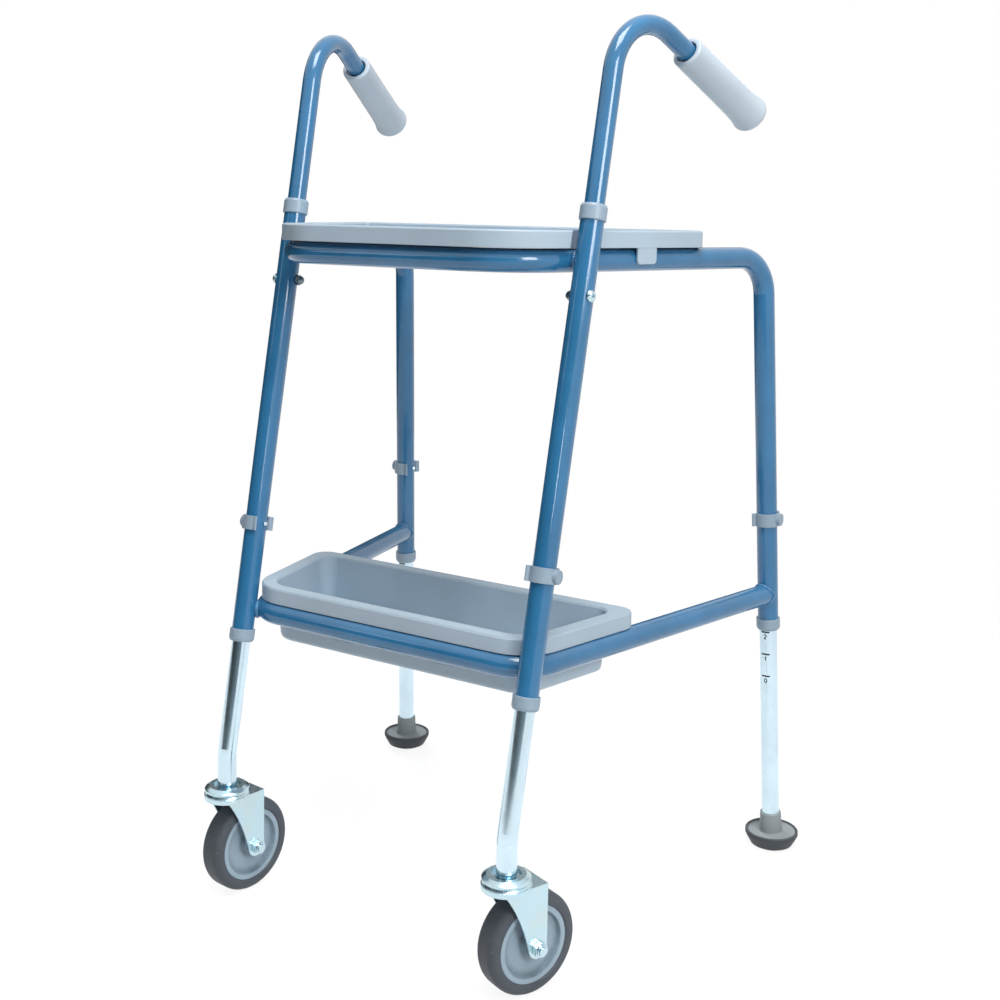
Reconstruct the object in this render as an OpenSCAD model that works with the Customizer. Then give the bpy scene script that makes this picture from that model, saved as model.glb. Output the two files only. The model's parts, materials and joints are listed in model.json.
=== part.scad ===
// Indoor walker with a removable tray and a lift-out basket.
// Millimetres, +Z up, front (casters) towards -Y, handles towards +Y, floor at z = 0.
// The right side (+X) is modelled and the left side is its mirror image, except for the turn of the casters.

/* [Tubes] */
// Outside diameter of the painted frame tubes
tube_d = 22.2; // [20:0.1:24]
// Wall thickness of every tube
tube_wall = 1.5; // [1:0.1:1.8]
// Radial clearance of sliding and plugged fits
slip = 0.1; // [0.05:0.01:0.1]
// Gap left between painted tubes at a weld
weld_gap = 0.3; // [0.2:0.05:0.5]

/* [Front legs] */
// Distance of the front leg axis from the middle plane, at the floor
front_x0 = 165.6; // [160:1:185]
// Height-wise slant of the front legs towards the user
front_rake = 11.6; // [9:0.1:13]
// Sideways lean of the front legs
front_lean = 0.9; // [0:0.1:1.5]
// Height of the lower end of the front legs
front_leg_bottom = 265; // [260:1:268]
// Height of the upper end of the front legs
front_leg_top = 701; // [696:1:715]

/* [Rear legs] */
// Distance of the rear leg axis from the middle plane, at the floor
rear_x0 = 253.3; // [245:1:265]
// Distance of the rear foot behind the point where the front leg axis meets the floor
wheelbase = 457; // [440:1:480]
// Slant of the rear legs, top towards the front
rear_rake = 3.7; // [2:0.1:5]
// Sideways splay of the rear legs
rear_splay = 1.65; // [0.5:0.1:2.5]
// Height of the lower end of the rear outer tubes
rear_leg_bottom = 256.5; // [250:1:260]

/* [Rails] */
// Height of the upper rail axis
upper_z = 657; // [645:1:665]
// How far the upper front bar stands in front of the front leg axis
upper_front = 59; // [54:1:66]
// Bend radius of the upper front corners
upper_bend = 60; // [50:1:64]
// Bend radius from the upper rail down into the rear legs
rear_bend = 41; // [38:1:50]
// Height of the lower rail axis
lower_z = 290.6; // [288:1:296]
// How far the lower front bar stands behind the front leg axis
lower_back = 8.3; // [6:0.1:11]
// Bend radius of the lower front corners
lower_bend = 40; // [38:1:44]

/* [Handles] */
// Height above the tray rim at which the leg axis and the grip axis cross
handle_rise = 220; // [200:1:240]
// Bend radius of the handle tubes
handle_bend = 56; // [48:1:62]
// Outward turn of the handles, seen from above
handle_heading = 14.3; // [8:0.1:18]
// Downward slope of the grips
handle_slope = 27.2; // [20:0.1:32]
// Distance along the grip axis from the crossing point to the grip
grip_start = 104; // [98:1:115]
// Length of a grip
grip_len = 122; // [105:1:130]
// Diameter of a grip at its front end
grip_front_d = 32; // [30:0.5:34]
// Diameter of a grip at its flared rear end
grip_rear_d = 38.5; // [36:0.5:42]
// Height of the handle bolts
bolt_z = 626; // [620:1:632]

/* [Height adjustment] */
// Distance between two height settings
hole_pitch = 25; // [25:1:25]
// Number of settings below the one shown
steps_down = 2; // [2:1:2]
// Number of settings above the one shown
steps_up = 4; // [4:1:4]
// Height of the locking pins in the front legs
front_pin_z = 378; // [370:1:386]
// Height of the locking pins in the rear legs
rear_pin_z = 375; // [366:1:384]
// Diameter of the locking pins
pin_d = 5; // [4.5:0.1:5.5]

/* [Casters] */
// Diameter of the wheels
wheel_d = 95; // [92:1:98]
// Width of the tyres
tyre_w = 26; // [24:0.5:27]
// Distance of the axle behind the swivel axis
trail = 23; // [21:0.5:26]
// Turn of the right caster as shown, trailing side outwards
right_turn = 22; // [-30:1:30]
// Turn of the left caster as shown, trailing side towards +X
left_turn = 7; // [-30:1:30]

/* [Rear feet] */
// Diameter of the rubber feet at the flange
foot_d = 58; // [54:1:62]
// Diameter of the flat pad on the floor
pad_d = 36; // [30:1:40]

/* [Tray] */
// Height of the tray rim
tray_h = 16.5; // [14:0.5:20]
// How far the tray reaches out over the upper rail axis
tray_over = 14; // [13:0.5:15]
// Depth of the tray from the upper front bar axis to its rear line
tray_depth = 222; // [205:1:230]

/* [Basket] */
// Height of the basket rim
rim_h = 15.5; // [13:0.5:18]
// Height of the underside of the basket above the floor
basket_bottom = 258; // [250:1:264]
// Depth of the basket from the lower front bar axis to its rear line
basket_depth = 144; // [125:1:152]

/* [Hidden] */
$fn = 64;
inner_d = tube_d - 2 * tube_wall - 2 * slip;
seat = 0.3;
cut = 1;
// A straight length laps into the bend next to it, and the bend is drawn slimmer by a hair
lap = 0.3;
hair = 0.05;

// Unit vector along v
function unit(v) = v / norm(v);
// Horizontal unit vector at an angle outwards from +Y
function heading(angle) = [sin(angle), cos(angle), 0];
// Matrix that places local x, y and z axes a, b and c at point p
function placed(a, b, c, p) = [
  [a[0], b[0], c[0], p[0]],
  [a[1], b[1], c[1], p[1]],
  [a[2], b[2], c[2], p[2]],
  [0, 0, 0, 1]
];
// Bend outlines: side vector from direction a towards direction b, and length of each tangent
function bend_side(a, b) = unit(b - (a * b) * a);
function tangent(a, b, r) = r * tan(acos(a * b) / 2);

// Axis points of the right front and rear legs at height z; the front leg axis meets the floor at y = 0
function front_axis(z) = [front_x0 + z * tan(front_lean), z * tan(front_rake), z];
function rear_axis(z) = [rear_x0 - z * tan(rear_splay), wheelbase - z * tan(rear_rake), z];
front_dir = unit([tan(front_lean), tan(front_rake), 1]);
rear_dir = unit([-tan(rear_splay), -tan(rear_rake), 1]);
axis_gap = tube_d + weld_gap;
x_dir = [1, 0, 0];
up_dir = [0, 0, 1];

// Upper rail: the side rail passes inside the front leg and ends on the rear leg axis
upper_front_pt = front_axis(upper_z);
upper_rear_pt = rear_axis(upper_z);
upper_run = upper_rear_pt - upper_front_pt;
upper_heading = atan2(upper_run[0], upper_run[1]) + asin(axis_gap / norm(upper_run));
upper_y = upper_front_pt[1] - upper_front;
upper_side = heading(upper_heading);
upper_centre_y = upper_y + upper_bend;
upper_centre_x = upper_rear_pt[0]
  + ((upper_centre_y - upper_rear_pt[1]) * sin(upper_heading) - upper_bend) / cos(upper_heading);

// Lower rail: the front corner bend rests against the front leg and the side rail ends on the rear leg
lower_front_pt = front_axis(lower_z);
lower_rear_pt = rear_axis(lower_z);
lower_y = lower_front_pt[1] + lower_back;
lower_centre_y = lower_y + lower_bend;
lower_centre_x = lower_front_pt[0]
  - sqrt(pow(lower_bend + axis_gap, 2) - pow(lower_front_pt[1] - lower_centre_y, 2));
lower_run = [lower_rear_pt[0] - lower_centre_x, lower_rear_pt[1] - lower_centre_y];
lower_heading = atan2(lower_run[0], lower_run[1]) - asin(lower_bend / norm(lower_run));
lower_side = heading(lower_heading);

// Handles
handle_cross_z = upper_z + tube_d / 2 + seat + tray_h + handle_rise;
handle_cross = front_axis(handle_cross_z);
grip_dir = [
  cos(handle_slope) * sin(handle_heading),
  cos(handle_slope) * cos(handle_heading),
  -sin(handle_slope)
];
handle_tangent = tangent(front_dir, grip_dir, handle_bend);
handle_below_bolt = 24;
handle_bottom_z = bolt_z - handle_below_bolt;
grip_end_wall = 6;
grip_bore_end = grip_len - grip_end_wall;
tube_in_grip = grip_bore_end - 2;
handle_end = grip_start + tube_in_grip;
grip_round = 6;
grip_edge = 2;
grip_taper = 2;
grip_flare_power = 12;
grip_mouth_d = inner_d + 3.5;
grip_mouth_h = 6;
bolt_d = 6;
bolt_clear = 0.2;
head_d = 11;
head_h = 3;
head_edge = 0.8;
head_socket_d = 4;
nut_d = 10.5;
nut_h = 4;
dome_d = 9;
dome_h = 4.5;
dome_bore = 2;

// Collars on the tube ends
collar_wall = 1.7;
collar_d = tube_d + 2 * collar_wall;
collar_h = 12.5;
collar_over = 7.5;
collar_chamfer = 1.2;
handle_collar_d = tube_d + 3.2;
handle_collar_h = 15;

// Inner tubes
tube_above_pin = 40;
pin_above = hole_pitch * steps_up + tube_above_pin;
stem_z = 149;
stem_bend = 50;
caster_axis = front_axis(stem_z);
stem_tangent = tangent(-front_dir, -up_dir, stem_bend);
rear_tube_end = 10;

// Locking clips
clip_h = 14;
clip_t = 2.4;
clip_open = 100;
lip_out = 3.6;
lip_t = 2.2;
boss_d = 13;
boss_out = 5;
pin_tip = 3;
pin_edge = 1;

// Casters, with z measured from the floor and +Y towards the axle
wheel_r = wheel_d / 2;
tyre_round = 7;
tyre_t = 11.5;
hub_r = wheel_r - tyre_t;
hub_w = 23;
hub_ring = 5;
hub_dish = 4.5;
hub_boss_r = 12;
hub_draft = 1.5;
hub_side_gap = 1;
tyre_edge = 1.5;
bush_d = 12;
axle_d = 8;
fork_in = tyre_w + 6;
fork_t = 2.5;
fork_end_r = 10;
fork_sweep_r = 160;
fork_front = 12.5;
crown_gap = 8;
crown_z = wheel_d + crown_gap;
ring_r = 23;
ring_in = 13.5;
ring_floor = 3.5;
ring_edge = 1;
ring_slope = 4.5;
upper_ring_r = ring_r - ring_edge / 2;
lower_ring_h = 4.4;
lower_ring_in = 8.5;
ring_gap = 0.6;
upper_ring_h = 5.8;
tube_dip = 1.5;
ball_d = 4.6;
ball_count = 14;
ball_path = 18;
stem_d = 11;
plug_below_bend = 3;
plug_top = stem_z - stem_tangent - plug_below_bend;
lower_ring_top = crown_z + fork_t + lower_ring_h;
upper_ring_top = lower_ring_top + ring_gap + upper_ring_h;
ball_z = lower_ring_top + ring_gap / 2;
inner_tube_end = upper_ring_top - tube_dip;
hex_d = 14;
hex_h = 5;
bolt_end = 8.5;
nut_collar_d = 11;
nut_collar_h = 7;

// Feet
foot_h = 39;
socket_d = 22.9;
socket_base_d = 24.6;
socket_fillet = 2.5;
socket_edge = 0.8;
flange_z = 17.8;
flange_edge = 1.8;
flange_dish = 2;
sole_h = 2.5;
sole_out = 5;
bowl_z = 9;
bowl_in = 2.2;
foot_bore_z = 9;
washer_t = 2;
rear_foot = rear_axis(0);

// Tray
tray_t = 2.5;
tray_rim = 10;
tray_z = upper_z + tube_d / 2 + seat;
notch_r = 17;
notch_wall_r = notch_r + tray_t + tray_h / 2 * tan(front_rake);
tray_corner = -1;
tab_w = 26;
tab_h = 15.5;
tab_round = 4;
tab_along = 90;
tab_skin = 0.15;
rim_edge = 1.5;
tray_rear_y = upper_y + tray_depth;

// Basket
wall_t = 2.2;
rim_out = 5;
rim_in = 11;
rim_z = lower_z + tube_d / 2 + seat;
rim_top = rim_z + rim_h;
draft = 5.8;
floor_round = 5;
floor_lap = 2;
basket_corner = 26;
rim_corner = 11;
lug_w = 20;
lug_h = 5;
lug_t = 3;
lug_drop = 8;
lug_z = lower_z - tube_d / 2 - lug_drop;
lug_x = 62;
basket_rear_y = lower_y + basket_depth;

// The front and rear ends of the whole object, so that its box is centred on y = 0
function tyre_reach(turn) = (wheel_r - tyre_round) * cos(turn)
  + (tyre_w / 2 - tyre_round) * abs(sin(turn)) + tyre_round - trail * cos(turn);
front_reach = caster_axis[1] - max(tyre_reach(right_turn), tyre_reach(left_turn), ring_r);
rear_reach = rear_foot[1] + foot_d / 2;
y_mid = (front_reach + rear_reach) / 2;

paint = [0.20, 0.42, 0.62];
plastic = [0.68, 0.74, 0.80];
chrome = [0.85, 0.88, 0.90];
zinc = [0.75, 0.79, 0.82];
rubber = [0.30, 0.32, 0.35];
grip_grey = [0.66, 0.71, 0.76];

// Children in the frame of the whole object
module centred() {
  translate([0, -y_mid, 0])
    children();
}

// Children for the right side as they are, or mirrored for the left side
module sided(side) {
  centred()
    mirror([side < 0 ? 1 : 0, 0, 0])
      children();
}

// Children with their z axis along direction d from point p
module along(p, d) {
  translate(p)
    rotate([-asin(d[1]), atan2(d[0], d[2]), 0])
      children();
}

// Round bar from p to q
module rod(p, q, dia) {
  along(p, unit(q - p))
    cylinder(d = dia, h = norm(q - p));
}

// Round bar from p to q, lapped into the bend that follows at q
module rod_to_bend(p, q, dia) {
  rod(p, q + lap * unit(q - p), dia);
}

// Round bar between two bends, lapped into both
module rod_between(p, q, dia) {
  rod_to_bend(p - lap * unit(q - p), q, dia);
}

// Round bar bent from direction a to direction b at radius r, starting at p
module elbow(p, a, b, r, dia) {
  side = bend_side(a, b);
  multmatrix(placed(-side, a, cross(-side, a), p + r * side))
    rotate_extrude(angle = acos(a * b))
      translate([r, 0])
        circle(d = dia - 2 * hair);
}

// Ring or bush of a given bore
module bush(d_out, d_in, h) {
  difference() {
    cylinder(d = d_out, h = h);
    translate([0, 0, -cut])
      cylinder(d = d_in, h = h + 2 * cut);
  }
}

// Upper rail with both rear legs as a solid bar of one diameter
module upper_rail_bar(dia, extra) {
  arc_start = [upper_centre_x, upper_y, upper_z];
  arc_end = [upper_centre_x, upper_centre_y, upper_z]
    + upper_bend * [cos(upper_heading), -sin(upper_heading), 0];
  run = tangent(upper_side, -rear_dir, rear_bend);
  rear_start = upper_rear_pt - run * upper_side;
  rear_end = upper_rear_pt - run * rear_dir;
  rod_between([-upper_centre_x, upper_y, upper_z], arc_start, dia);
  for (side = [0, 1])
    mirror([side, 0, 0]) {
      elbow(arc_start, x_dir, upper_side, upper_bend, dia);
      rod_between(arc_end, rear_start, dia);
      elbow(rear_start, upper_side, -rear_dir, rear_bend, dia);
      rod_to_bend(rear_axis(rear_leg_bottom) - extra * rear_dir, rear_end, dia);
    }
}

module upper_rail() {
  color(paint)
    centred()
      difference() {
        upper_rail_bar(tube_d, 0);
        upper_rail_bar(tube_d - 2 * tube_wall, cut);
        for (side = [0, 1])
          mirror([side, 0, 0])
            pin_hole(rear_axis(rear_pin_z), rear_dir);
      }
}

// Lower rail as a solid bar of one diameter, running a little into or past the rear leg axis
module lower_rail_bar(dia, extra) {
  arc_start = [lower_centre_x, lower_y, lower_z];
  arc_end = [lower_centre_x, lower_centre_y, lower_z]
    + lower_bend * [cos(lower_heading), -sin(lower_heading), 0];
  rod_between([-lower_centre_x, lower_y, lower_z], arc_start, dia);
  for (side = [0, 1])
    mirror([side, 0, 0]) {
      elbow(arc_start, x_dir, lower_side, lower_bend, dia);
      rod_to_bend(lower_rear_pt + extra * lower_side, arc_end, dia);
    }
}

// The rear ends are coped to the rear legs
module lower_rail() {
  color(paint)
    centred()
      difference() {
        lower_rail_bar(tube_d, 0);
        lower_rail_bar(tube_d - 2 * tube_wall, cut);
        for (side = [0, 1])
          mirror([side, 0, 0])
            rod(rear_axis(lower_z - 2 * tube_d), rear_axis(lower_z + 2 * tube_d), tube_d + 2 * weld_gap);
      }
}

// Hole for a locking pin, along the local x axis of a tube
module pin_hole(p, d) {
  along(p, d)
    rotate([0, 90, 0])
      cylinder(d = pin_d + 2 * slip, h = 2 * tube_d, center = true);
}

// Children with their z axis along a handle bolt, pointing outwards
module bolt_frame() {
  along(front_axis(bolt_z), front_dir)
    rotate([0, 0, -upper_heading])
      rotate([0, 90, 0])
        children();
}

module front_leg(side) {
  color(paint)
    sided(side)
      difference() {
        rod(front_axis(front_leg_bottom), front_axis(front_leg_top), tube_d);
        rod(front_axis(front_leg_bottom - cut), front_axis(front_leg_top + cut), tube_d - 2 * tube_wall);
        pin_hole(front_axis(front_pin_z), front_dir);
        bolt_frame()
          cylinder(d = bolt_d + 2 * bolt_clear, h = 2 * tube_d, center = true);
      }
}

// Handle tube as a solid bar of one diameter
module handle_bar(dia, extra) {
  start = handle_cross - handle_tangent * front_dir;
  rod_to_bend(front_axis(handle_bottom_z) - extra * front_dir, start, dia);
  elbow(start, front_dir, grip_dir, handle_bend, dia);
  rod_to_bend(handle_cross + (handle_end + extra) * grip_dir, handle_cross + handle_tangent * grip_dir, dia);
}

module handle_tube(side) {
  color(paint)
    sided(side)
      difference() {
        handle_bar(inner_d, 0);
        handle_bar(inner_d - 2 * tube_wall, cut);
        bolt_frame()
          cylinder(d = bolt_d + 2 * bolt_clear, h = 2 * tube_d, center = true);
      }
}

// Outer radius of a grip at a share t of its length: almost straight, with a short flare at the rear
function grip_r(t) = (grip_front_d + grip_taper * t
  + (grip_rear_d - grip_front_d - grip_taper) * pow(t, grip_flare_power)) / 2;

// Flared grip with an open front end, a wider mouth round the tube and a rounded closed rear end
module handle_grip(side) {
  steps = 16;
  round_step = 15;
  body_len = grip_len - grip_round - grip_edge;
  shares = [for (i = [1 : steps]) 1 - pow(1 - i / steps, 2)];
  front_edge = [for (a = [0 : 2 * round_step : 90]) [
    grip_r(0) - grip_edge * (1 - sin(a)),
    grip_edge * (1 - cos(a))
  ]];
  flare = [for (t = shares) [grip_r(t), grip_edge + body_len * t]];
  end_round = [for (a = [round_step : round_step : 90]) [
    grip_r(1) - grip_round * (1 - cos(a)),
    grip_len - grip_round + grip_round * sin(a)
  ]];
  color(grip_grey)
    sided(side)
      along(handle_cross + grip_start * grip_dir, grip_dir)
        difference() {
          rotate_extrude()
            polygon(concat([[0, 0]], front_edge, flare, end_round, [[0, grip_len]]));
          translate([0, 0, -cut])
            cylinder(d = inner_d + 2 * slip, h = grip_bore_end + cut);
          translate([0, 0, -cut])
            cylinder(d = grip_mouth_d, h = grip_mouth_h + cut);
        }
}

// Plastic bush on the top of a front leg, closing down on the handle tube
module handle_collar(side) {
  over = handle_collar_h / 2;
  color(plastic)
    sided(side)
      along(front_axis(front_leg_top) - over * front_dir, front_dir)
        collar(handle_collar_d, handle_collar_h, over + seat);
}

// Stepped collar: wide bore over the outer tube up to a height, narrow bore on the inner tube above it
module collar(d_out, h, wide_h) {
  difference() {
    rotate_extrude()
      polygon([
        [0, 0],
        [d_out / 2 - collar_chamfer / 2, 0],
        [d_out / 2, collar_chamfer / 2],
        [d_out / 2, h - 2 * collar_chamfer],
        [d_out / 2 - collar_chamfer, h],
        [0, h]
      ]);
    translate([0, 0, -cut])
      cylinder(d = inner_d + 2 * slip, h = h + 2 * cut);
    translate([0, 0, -cut])
      cylinder(d = tube_d + 2 * slip, h = wide_h + cut);
  }
}

// Collar on the lower end of an outer leg tube, facing down
module leg_collar(side, end, d) {
  color(plastic)
    sided(side)
      along(end + collar_over * d, -d)
        collar(collar_d, collar_h, collar_over + seat);
}

// Button-head screws that hold the handle tubes, heads outside
module handle_bolts() {
  shank = tube_d + head_h + nut_h;
  color(zinc)
    for (side = [1, -1])
      sided(side)
        bolt_frame()
          difference() {
            union() {
              translate([0, 0, tube_d / 2 + seat])
                rotate_extrude()
                  polygon([
                    [0, 0],
                    [head_d / 2, 0],
                    [head_d / 2, head_h / 3],
                    [head_d / 2 - head_edge, 2 * head_h / 3],
                    [head_d / 3, head_h],
                    [0, head_h]
                  ]);
              translate([0, 0, tube_d / 2 + head_h / 2 - shank])
                cylinder(d = bolt_d, h = shank);
            }
            translate([0, 0, tube_d / 2 + seat + head_h / 2])
              cylinder(d = head_socket_d, h = head_h, $fn = 6);
          }
}

// Domed nuts on the inner side of the front legs
module handle_nuts() {
  bore_h = nut_h + dome_bore;
  color(zinc)
    for (side = [1, -1])
      sided(side)
        bolt_frame()
          mirror([0, 0, 1])
            translate([0, 0, tube_d / 2 + seat])
              difference() {
                union() {
                  cylinder(d = nut_d, h = nut_h, $fn = 6);
                  translate([0, 0, nut_h - cut / 2])
                    intersection() {
                      sphere(d = dome_d);
                      cylinder(d = nut_d, h = dome_h);
                    }
                }
                translate([0, 0, -cut])
                  cylinder(d = bolt_d + 2 * slip, h = bore_h + cut);
              }
}

// Row of holes in an inner tube for all height settings
module setting_holes(p, d) {
  for (i = [-steps_down : steps_up])
    pin_hole(p + i * hole_pitch * d, d);
}

// Inner front tube as a solid bar, bent so that its lower end stands upright over the caster
module front_inner_bar(dia, extra) {
  start = front_axis(front_pin_z) + (pin_above + extra) * front_dir;
  bend_start = caster_axis + stem_tangent * front_dir;
  rod_to_bend(start, bend_start, dia);
  elbow(bend_start, -front_dir, -up_dir, stem_bend, dia);
  rod_to_bend(
    [caster_axis[0], caster_axis[1], inner_tube_end - extra],
    caster_axis - stem_tangent * up_dir,
    dia
  );
}

module front_inner_tube(side) {
  color(chrome)
    sided(side)
      difference() {
        front_inner_bar(inner_d, 0);
        front_inner_bar(inner_d - 2 * tube_wall, cut);
        setting_holes(front_axis(front_pin_z), front_dir);
      }
}

module rear_inner_tube(side) {
  top = rear_axis(rear_pin_z) + pin_above * rear_dir;
  color(chrome)
    sided(side)
      difference() {
        rod(rear_axis(rear_tube_end), top, inner_d);
        rod(rear_axis(rear_tube_end - cut), top + cut * rear_dir, inner_d - 2 * tube_wall);
        setting_holes(rear_axis(rear_pin_z), rear_dir);
      }
}

// Rubber foot: socket in line with the leg, flange with a raised edge and dished top, bowl with a flat pad
module foot(side) {
  rim_r = foot_d / 2;
  dish_z = flange_z - flange_dish;
  socket_h = foot_h - bowl_z;
  fillet_z = dish_z - bowl_z;
  fillet = [for (a = [0 : 30 : 90]) [
    socket_base_d / 2 + socket_fillet * (1 - sin(a)),
    fillet_z + socket_fillet * (1 - cos(a))
  ]];
  color(rubber)
    sided(side)
      difference() {
        union() {
          translate([rear_foot[0], rear_foot[1], 0])
            rotate_extrude()
              polygon([
                [0, 0],
                [pad_d / 2, 0],
                [pad_d / 2 + sole_out, sole_h],
                [rim_r - bowl_in, bowl_z],
                [rim_r, flange_z - 2 * bowl_in],
                [rim_r, flange_z - flange_edge / 2],
                [rim_r - flange_edge / 2, flange_z],
                [rim_r - flange_edge, flange_z],
                [rim_r - 2 * flange_edge, dish_z],
                [0, dish_z]
              ]);
          along(rear_axis(bowl_z), rear_dir)
            rotate_extrude()
              polygon(concat(
                [[0, 0], [socket_base_d / 2 + socket_fillet, 0]],
                fillet,
                [
                  [socket_d / 2, socket_h - socket_edge],
                  [socket_d / 2 - socket_edge, socket_h],
                  [0, socket_h]
                ]
              ));
        }
        rod(rear_axis(foot_bore_z - washer_t), rear_axis(foot_h + tube_d), inner_d + 2 * slip);
      }
}

// Steel washer in the bottom of the foot, under the end of the tube
module foot_washer(side) {
  color(zinc)
    sided(side)
      along(rear_axis(foot_bore_z - washer_t) + seat * rear_dir, rear_dir)
        cylinder(d = inner_d - seat, h = washer_t);
}

// Springy band that grips the outer tube, open on the inner side between two lips, with a boss over the pin
module clip_band(side, p, d) {
  band_r = tube_d / 2 + seat;
  lip_angle = 180 - clip_open / 2;
  color(plastic)
    sided(side)
      along(p, d)
        difference() {
          union() {
            rotate([0, 0, clip_open / 2 - 180])
              rotate_extrude(angle = 360 - clip_open)
                translate([band_r, -clip_h / 2])
                  square([clip_t, clip_h]);
            for (a = [-lip_angle, lip_angle])
              rotate([0, 0, a])
                translate([band_r + clip_t / 2, -lip_t / 2, -clip_h / 2 + hair])
                  cube([clip_t / 2 + lip_out, lip_t, clip_h - 2 * hair]);
            rotate([0, 90, 0])
              translate([0, 0, band_r / 2])
                cylinder(d = boss_d, h = band_r / 2 + boss_out);
          }
          cylinder(r = band_r, h = 2 * clip_h, center = true);
          rotate([0, 90, 0])
            cylinder(d = pin_d + 2 * slip, h = band_r + boss_out - clip_t);
        }
}

// Steel pin moulded into the boss and passing through both tubes
module clip_pin(side, p, d) {
  outer = tube_d / 2 + seat + boss_out - clip_t - seat;
  inner = tube_d / 2 + pin_tip;
  color(zinc)
    sided(side)
      along(p, d)
        rotate([0, 90, 0])
          translate([0, 0, -inner])
            rotate_extrude()
              polygon([
                [0, 0],
                [pin_d / 2 - pin_edge, 0],
                [pin_d / 2, pin_edge],
                [pin_d / 2, inner + outer],
                [0, inner + outer]
              ]);
}

// Children in the frame of a caster: swivel axis at the origin, floor at z = 0, trailing side towards +Y
module at_caster(side) {
  centred()
    translate([side * caster_axis[0], caster_axis[1], 0])
      rotate([0, 0, -(side > 0 ? right_turn : left_turn)])
        children();
}

// Ring-shaped groove for the balls
module ball_groove() {
  translate([0, 0, ball_z])
    rotate_extrude()
      translate([ball_path, 0])
        circle(d = ball_d + 2 * slip);
}

// Stem plugged into the tube end, with the upper race pressed on it
module caster_stem(side) {
  plug_d = inner_d - 2 * tube_wall - 2 * slip;
  race_bottom = lower_ring_top + ring_gap;
  color(zinc)
    at_caster(side)
      difference() {
        union() {
          rotate_extrude()
            polygon([
              [0, race_bottom],
              [upper_ring_r - ring_edge, race_bottom],
              [upper_ring_r, race_bottom + ring_edge],
              [upper_ring_r, race_bottom + upper_ring_h / 2],
              [upper_ring_r - ring_edge, upper_ring_top - 2 * ring_edge],
              [upper_ring_r - ring_slope, upper_ring_top],
              [ring_in, upper_ring_top],
              [ring_in, race_bottom + ring_floor],
              [0, race_bottom + ring_floor]
            ]);
          translate([0, 0, race_bottom])
            cylinder(d = stem_d, h = plug_top - race_bottom);
          translate([0, 0, inner_tube_end + seat])
            cylinder(d = plug_d, h = plug_top - inner_tube_end - seat);
        }
        ball_groove();
      }
}

// Steel balls of the swivel race
module race_balls(side) {
  color(chrome)
    at_caster(side)
      for (i = [0 : ball_count - 1])
        rotate([0, 0, 360 * i / ball_count])
          translate([ball_path, 0, ball_z])
            sphere(d = ball_d, $fn = 24);
}

// Centre of the circle of radius r that passes through p and q, on the left of the way from p to q
function circle_centre(p, q, r) = (p + q) / 2
  + sqrt(r * r - pow(norm(q - p) / 2, 2)) * left_normal(q - p);

// Side outline of a fork cheek: straight rear edge, round axle end and a front edge that sweeps to the race
module fork_cheek() {
  rear = trail + fork_end_r;
  top = crown_z + fork_t;
  low = [trail - fork_end_r, wheel_r];
  high = [-fork_front, crown_z];
  difference() {
    union() {
      translate([trail, wheel_r])
        circle(r = fork_end_r);
      polygon([
        low,
        [rear, wheel_r],
        [rear, top],
        [-fork_front, top],
        high
      ]);
    }
    translate(circle_centre(low, high, fork_sweep_r) - [hair, 0])
      circle(r = fork_sweep_r, $fn = 256);
  }
}

// Pressed fork: crown with the lower race and two cheeks
module caster_fork(side) {
  cheek_x = fork_in / 2;
  rear = trail + fork_end_r;
  color(zinc)
    at_caster(side)
      difference() {
        union() {
          translate([0, 0, crown_z])
            cylinder(r = ring_r, h = fork_t);
          translate([-cheek_x - fork_t, 0, crown_z])
            cube([2 * (cheek_x + fork_t), rear, fork_t]);
          translate([0, 0, crown_z])
            rotate_extrude()
              polygon([
                [lower_ring_in, 0],
                [ring_r, 0],
                [ring_r, fork_t + 2 * ring_edge],
                [ring_r - ring_edge, fork_t + lower_ring_h - 2 * ring_edge],
                [ring_r - 2 * ring_edge, fork_t + lower_ring_h],
                [lower_ring_in, fork_t + lower_ring_h]
              ]);
          for (x = [-cheek_x - fork_t, cheek_x])
            translate([x, 0, 0])
              rotate([90, 0, 90])
                linear_extrude(fork_t)
                  fork_cheek();
        }
        ball_groove();
        translate([0, trail, wheel_r])
          rotate([0, 90, 0])
            cylinder(d = axle_d + 2 * slip, h = 2 * fork_in, center = true);
      }
}

// Children on the axle of a caster, with z along the axle; both casters are alike
module on_axle(side) {
  at_caster(side)
    translate([0, trail, wheel_r])
      rotate([0, 90, 0])
        children();
}

// Hexagon bolt through the fork
module axle_bolt(side) {
  half = fork_in / 2 + fork_t;
  color(zinc)
    on_axle(side) {
      translate([0, 0, -half - seat - hex_h])
        cylinder(d = hex_d, h = hex_h, $fn = 6);
      translate([0, 0, -half - seat - cut])
        cylinder(d = axle_d, h = 2 * half + seat + cut + bolt_end);
    }
}

// Lock nut on the far end of the axle bolt
module axle_nut(side) {
  half = fork_in / 2 + fork_t;
  color(zinc)
    on_axle(side)
      translate([0, 0, half + seat])
        difference() {
          union() {
            cylinder(d = hex_d, h = hex_h, $fn = 6);
            cylinder(d = nut_collar_d, h = nut_collar_h);
          }
          translate([0, 0, -cut])
            cylinder(d = axle_d + 2 * slip, h = nut_collar_h + 2 * cut);
        }
}

// Steel spacer between the fork cheeks, on which the hub turns
module wheel_bush(side) {
  color(zinc)
    on_axle(side)
      translate([0, 0, -fork_in / 2 + seat])
        bush(bush_d, axle_d + 2 * slip, fork_in - 2 * seat);
}

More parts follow.
